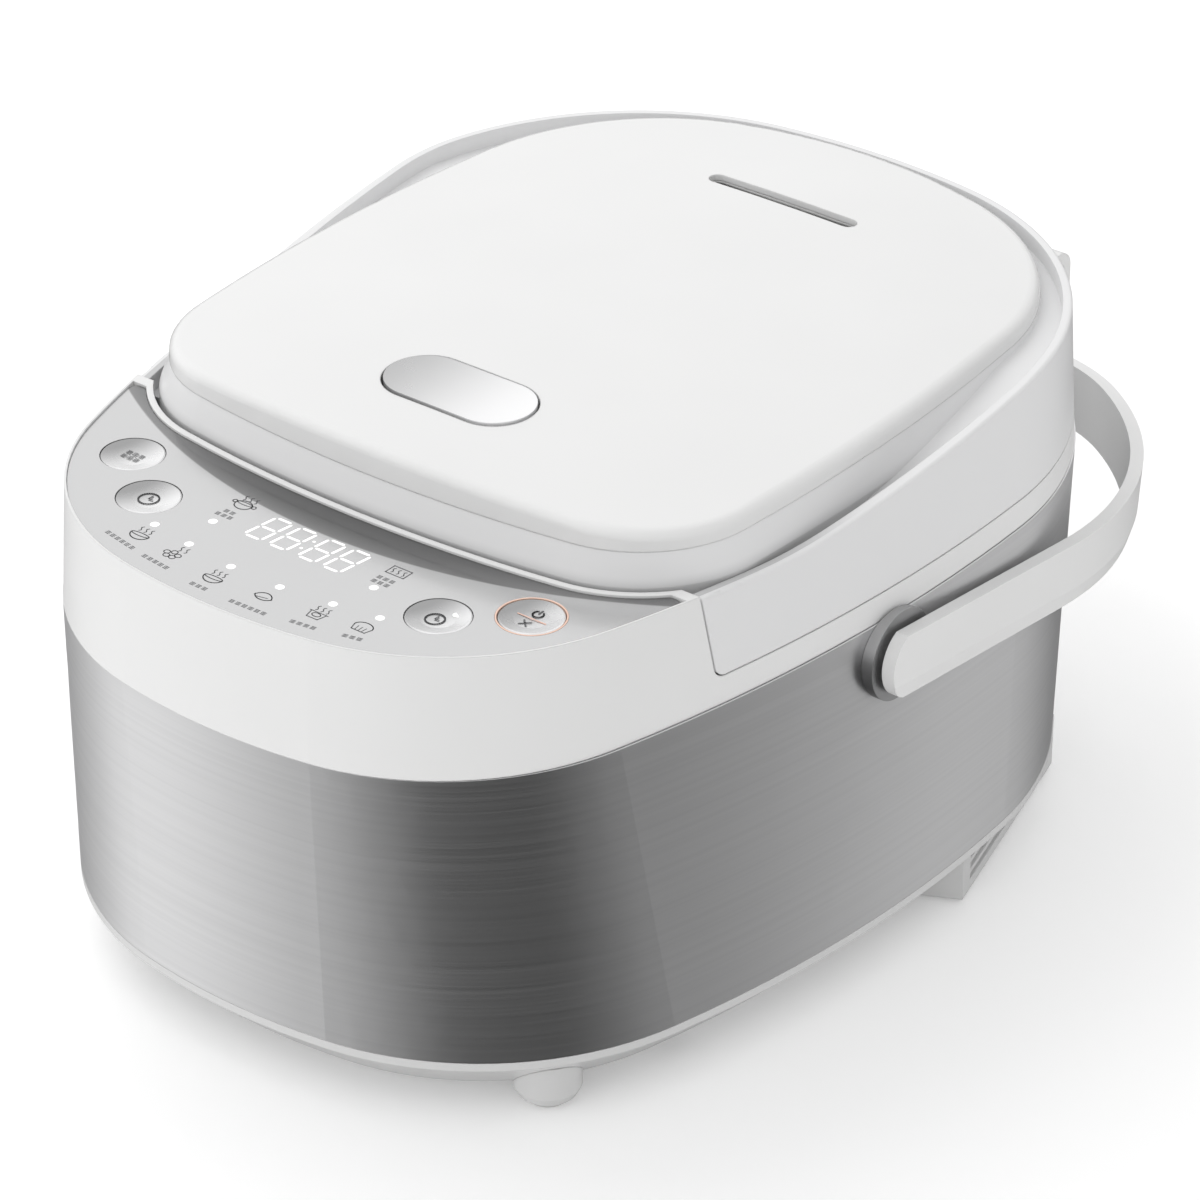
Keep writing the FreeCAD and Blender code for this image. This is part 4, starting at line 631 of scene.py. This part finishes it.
# Grey levels once round the horizon, as shares of a turn: 0 is the left, 0.25 the front, 0.5 the right
# and 0.75 the rear. The cards stand below the horizon, where the floor hides them from everything but
# reflections: a bright one at the front left, a dark one at the front right and a paler one at the
# right rear. The brushed steel shows them as soft upright bands.
CARDS = ((0.00, 0.42), (0.08, 0.76), (0.18, 0.36), (0.32, 0.05), (0.45, 0.02), (0.58, 0.20),
         (0.65, 0.46), (0.78, 0.10), (0.88, 0.10), (1.00, 0.42))
CARD_STRENGTH = 1.25
TENT = ((0.00, 0.99), (0.25, 0.95), (0.38, 0.72), (0.55, 0.66), (0.70, 0.90), (1.00, 0.99))
WORLD_STRENGTH = 1.08


def make_world():
    """A pale tent above, and the cards below, blended across the horizon."""
    world = bpy.data.worlds.new("studio")
    bpy.context.scene.world = world
    world.use_nodes = True
    tree = world.node_tree
    tree.nodes.clear()
    new, link = tree.nodes.new, tree.links.new
    coords = new("ShaderNodeTexCoord")
    radial = new("ShaderNodeTexGradient")
    radial.gradient_type = "RADIAL"
    link(coords.outputs["Generated"], radial.inputs["Vector"])

    def round_the_horizon(levels):
        ramp = new("ShaderNodeValToRGB")
        fill_ramp(ramp.color_ramp, [(where, (level, level, level)) for where, level in levels])
        link(radial.outputs["Fac"], ramp.inputs["Fac"])
        return ramp.outputs["Color"]

    cards = new("ShaderNodeVectorMath")
    cards.operation = "SCALE"
    cards.inputs["Scale"].default_value = CARD_STRENGTH
    link(round_the_horizon(CARDS), cards.inputs[0])
    split = new("ShaderNodeSeparateXYZ")
    link(coords.outputs["Generated"], split.inputs["Vector"])
    height = new("ShaderNodeMapRange")
    height.interpolation_type = "SMOOTHSTEP"
    height.inputs["From Min"].default_value = -0.12
    height.inputs["From Max"].default_value = 0.25
    link(split.outputs["Z"], height.inputs["Value"])
    mix = new("ShaderNodeMixRGB")
    link(height.outputs["Result"], mix.inputs["Fac"])
    link(cards.outputs["Vector"], mix.inputs["Color1"])
    link(round_the_horizon(TENT), mix.inputs["Color2"])
    background = new("ShaderNodeBackground")
    background.inputs["Strength"].default_value = WORLD_STRENGTH
    link(mix.outputs["Color"], background.inputs["Color"])
    output = new("ShaderNodeOutputWorld")
    link(background.outputs["Background"], output.inputs["Surface"])


def make_light(name, where, size, energy):
    """A round soft light aimed at the body and left out of its reflections."""
    target = Vector((0, 0, 0.1))
    data = bpy.data.lights.new(name, "AREA")
    data.shape = "DISK"
    data.size = size
    data.energy = energy
    light = bpy.data.objects.new(name, data)
    light.location = where
    light.rotation_euler = (target - Vector(where)).to_track_quat("-Z", "Y").to_euler()
    light.visible_glossy = False
    bpy.context.collection.objects.link(light)


make_floor()
make_world()
make_light("key_light", (-1.2, 0.1, 2.0), 1.6, 9)
make_light("front_light", (-0.3, -2.0, 0.9), 1.2, 2.5)
bpy.context.scene.view_settings.view_transform = "Standard"
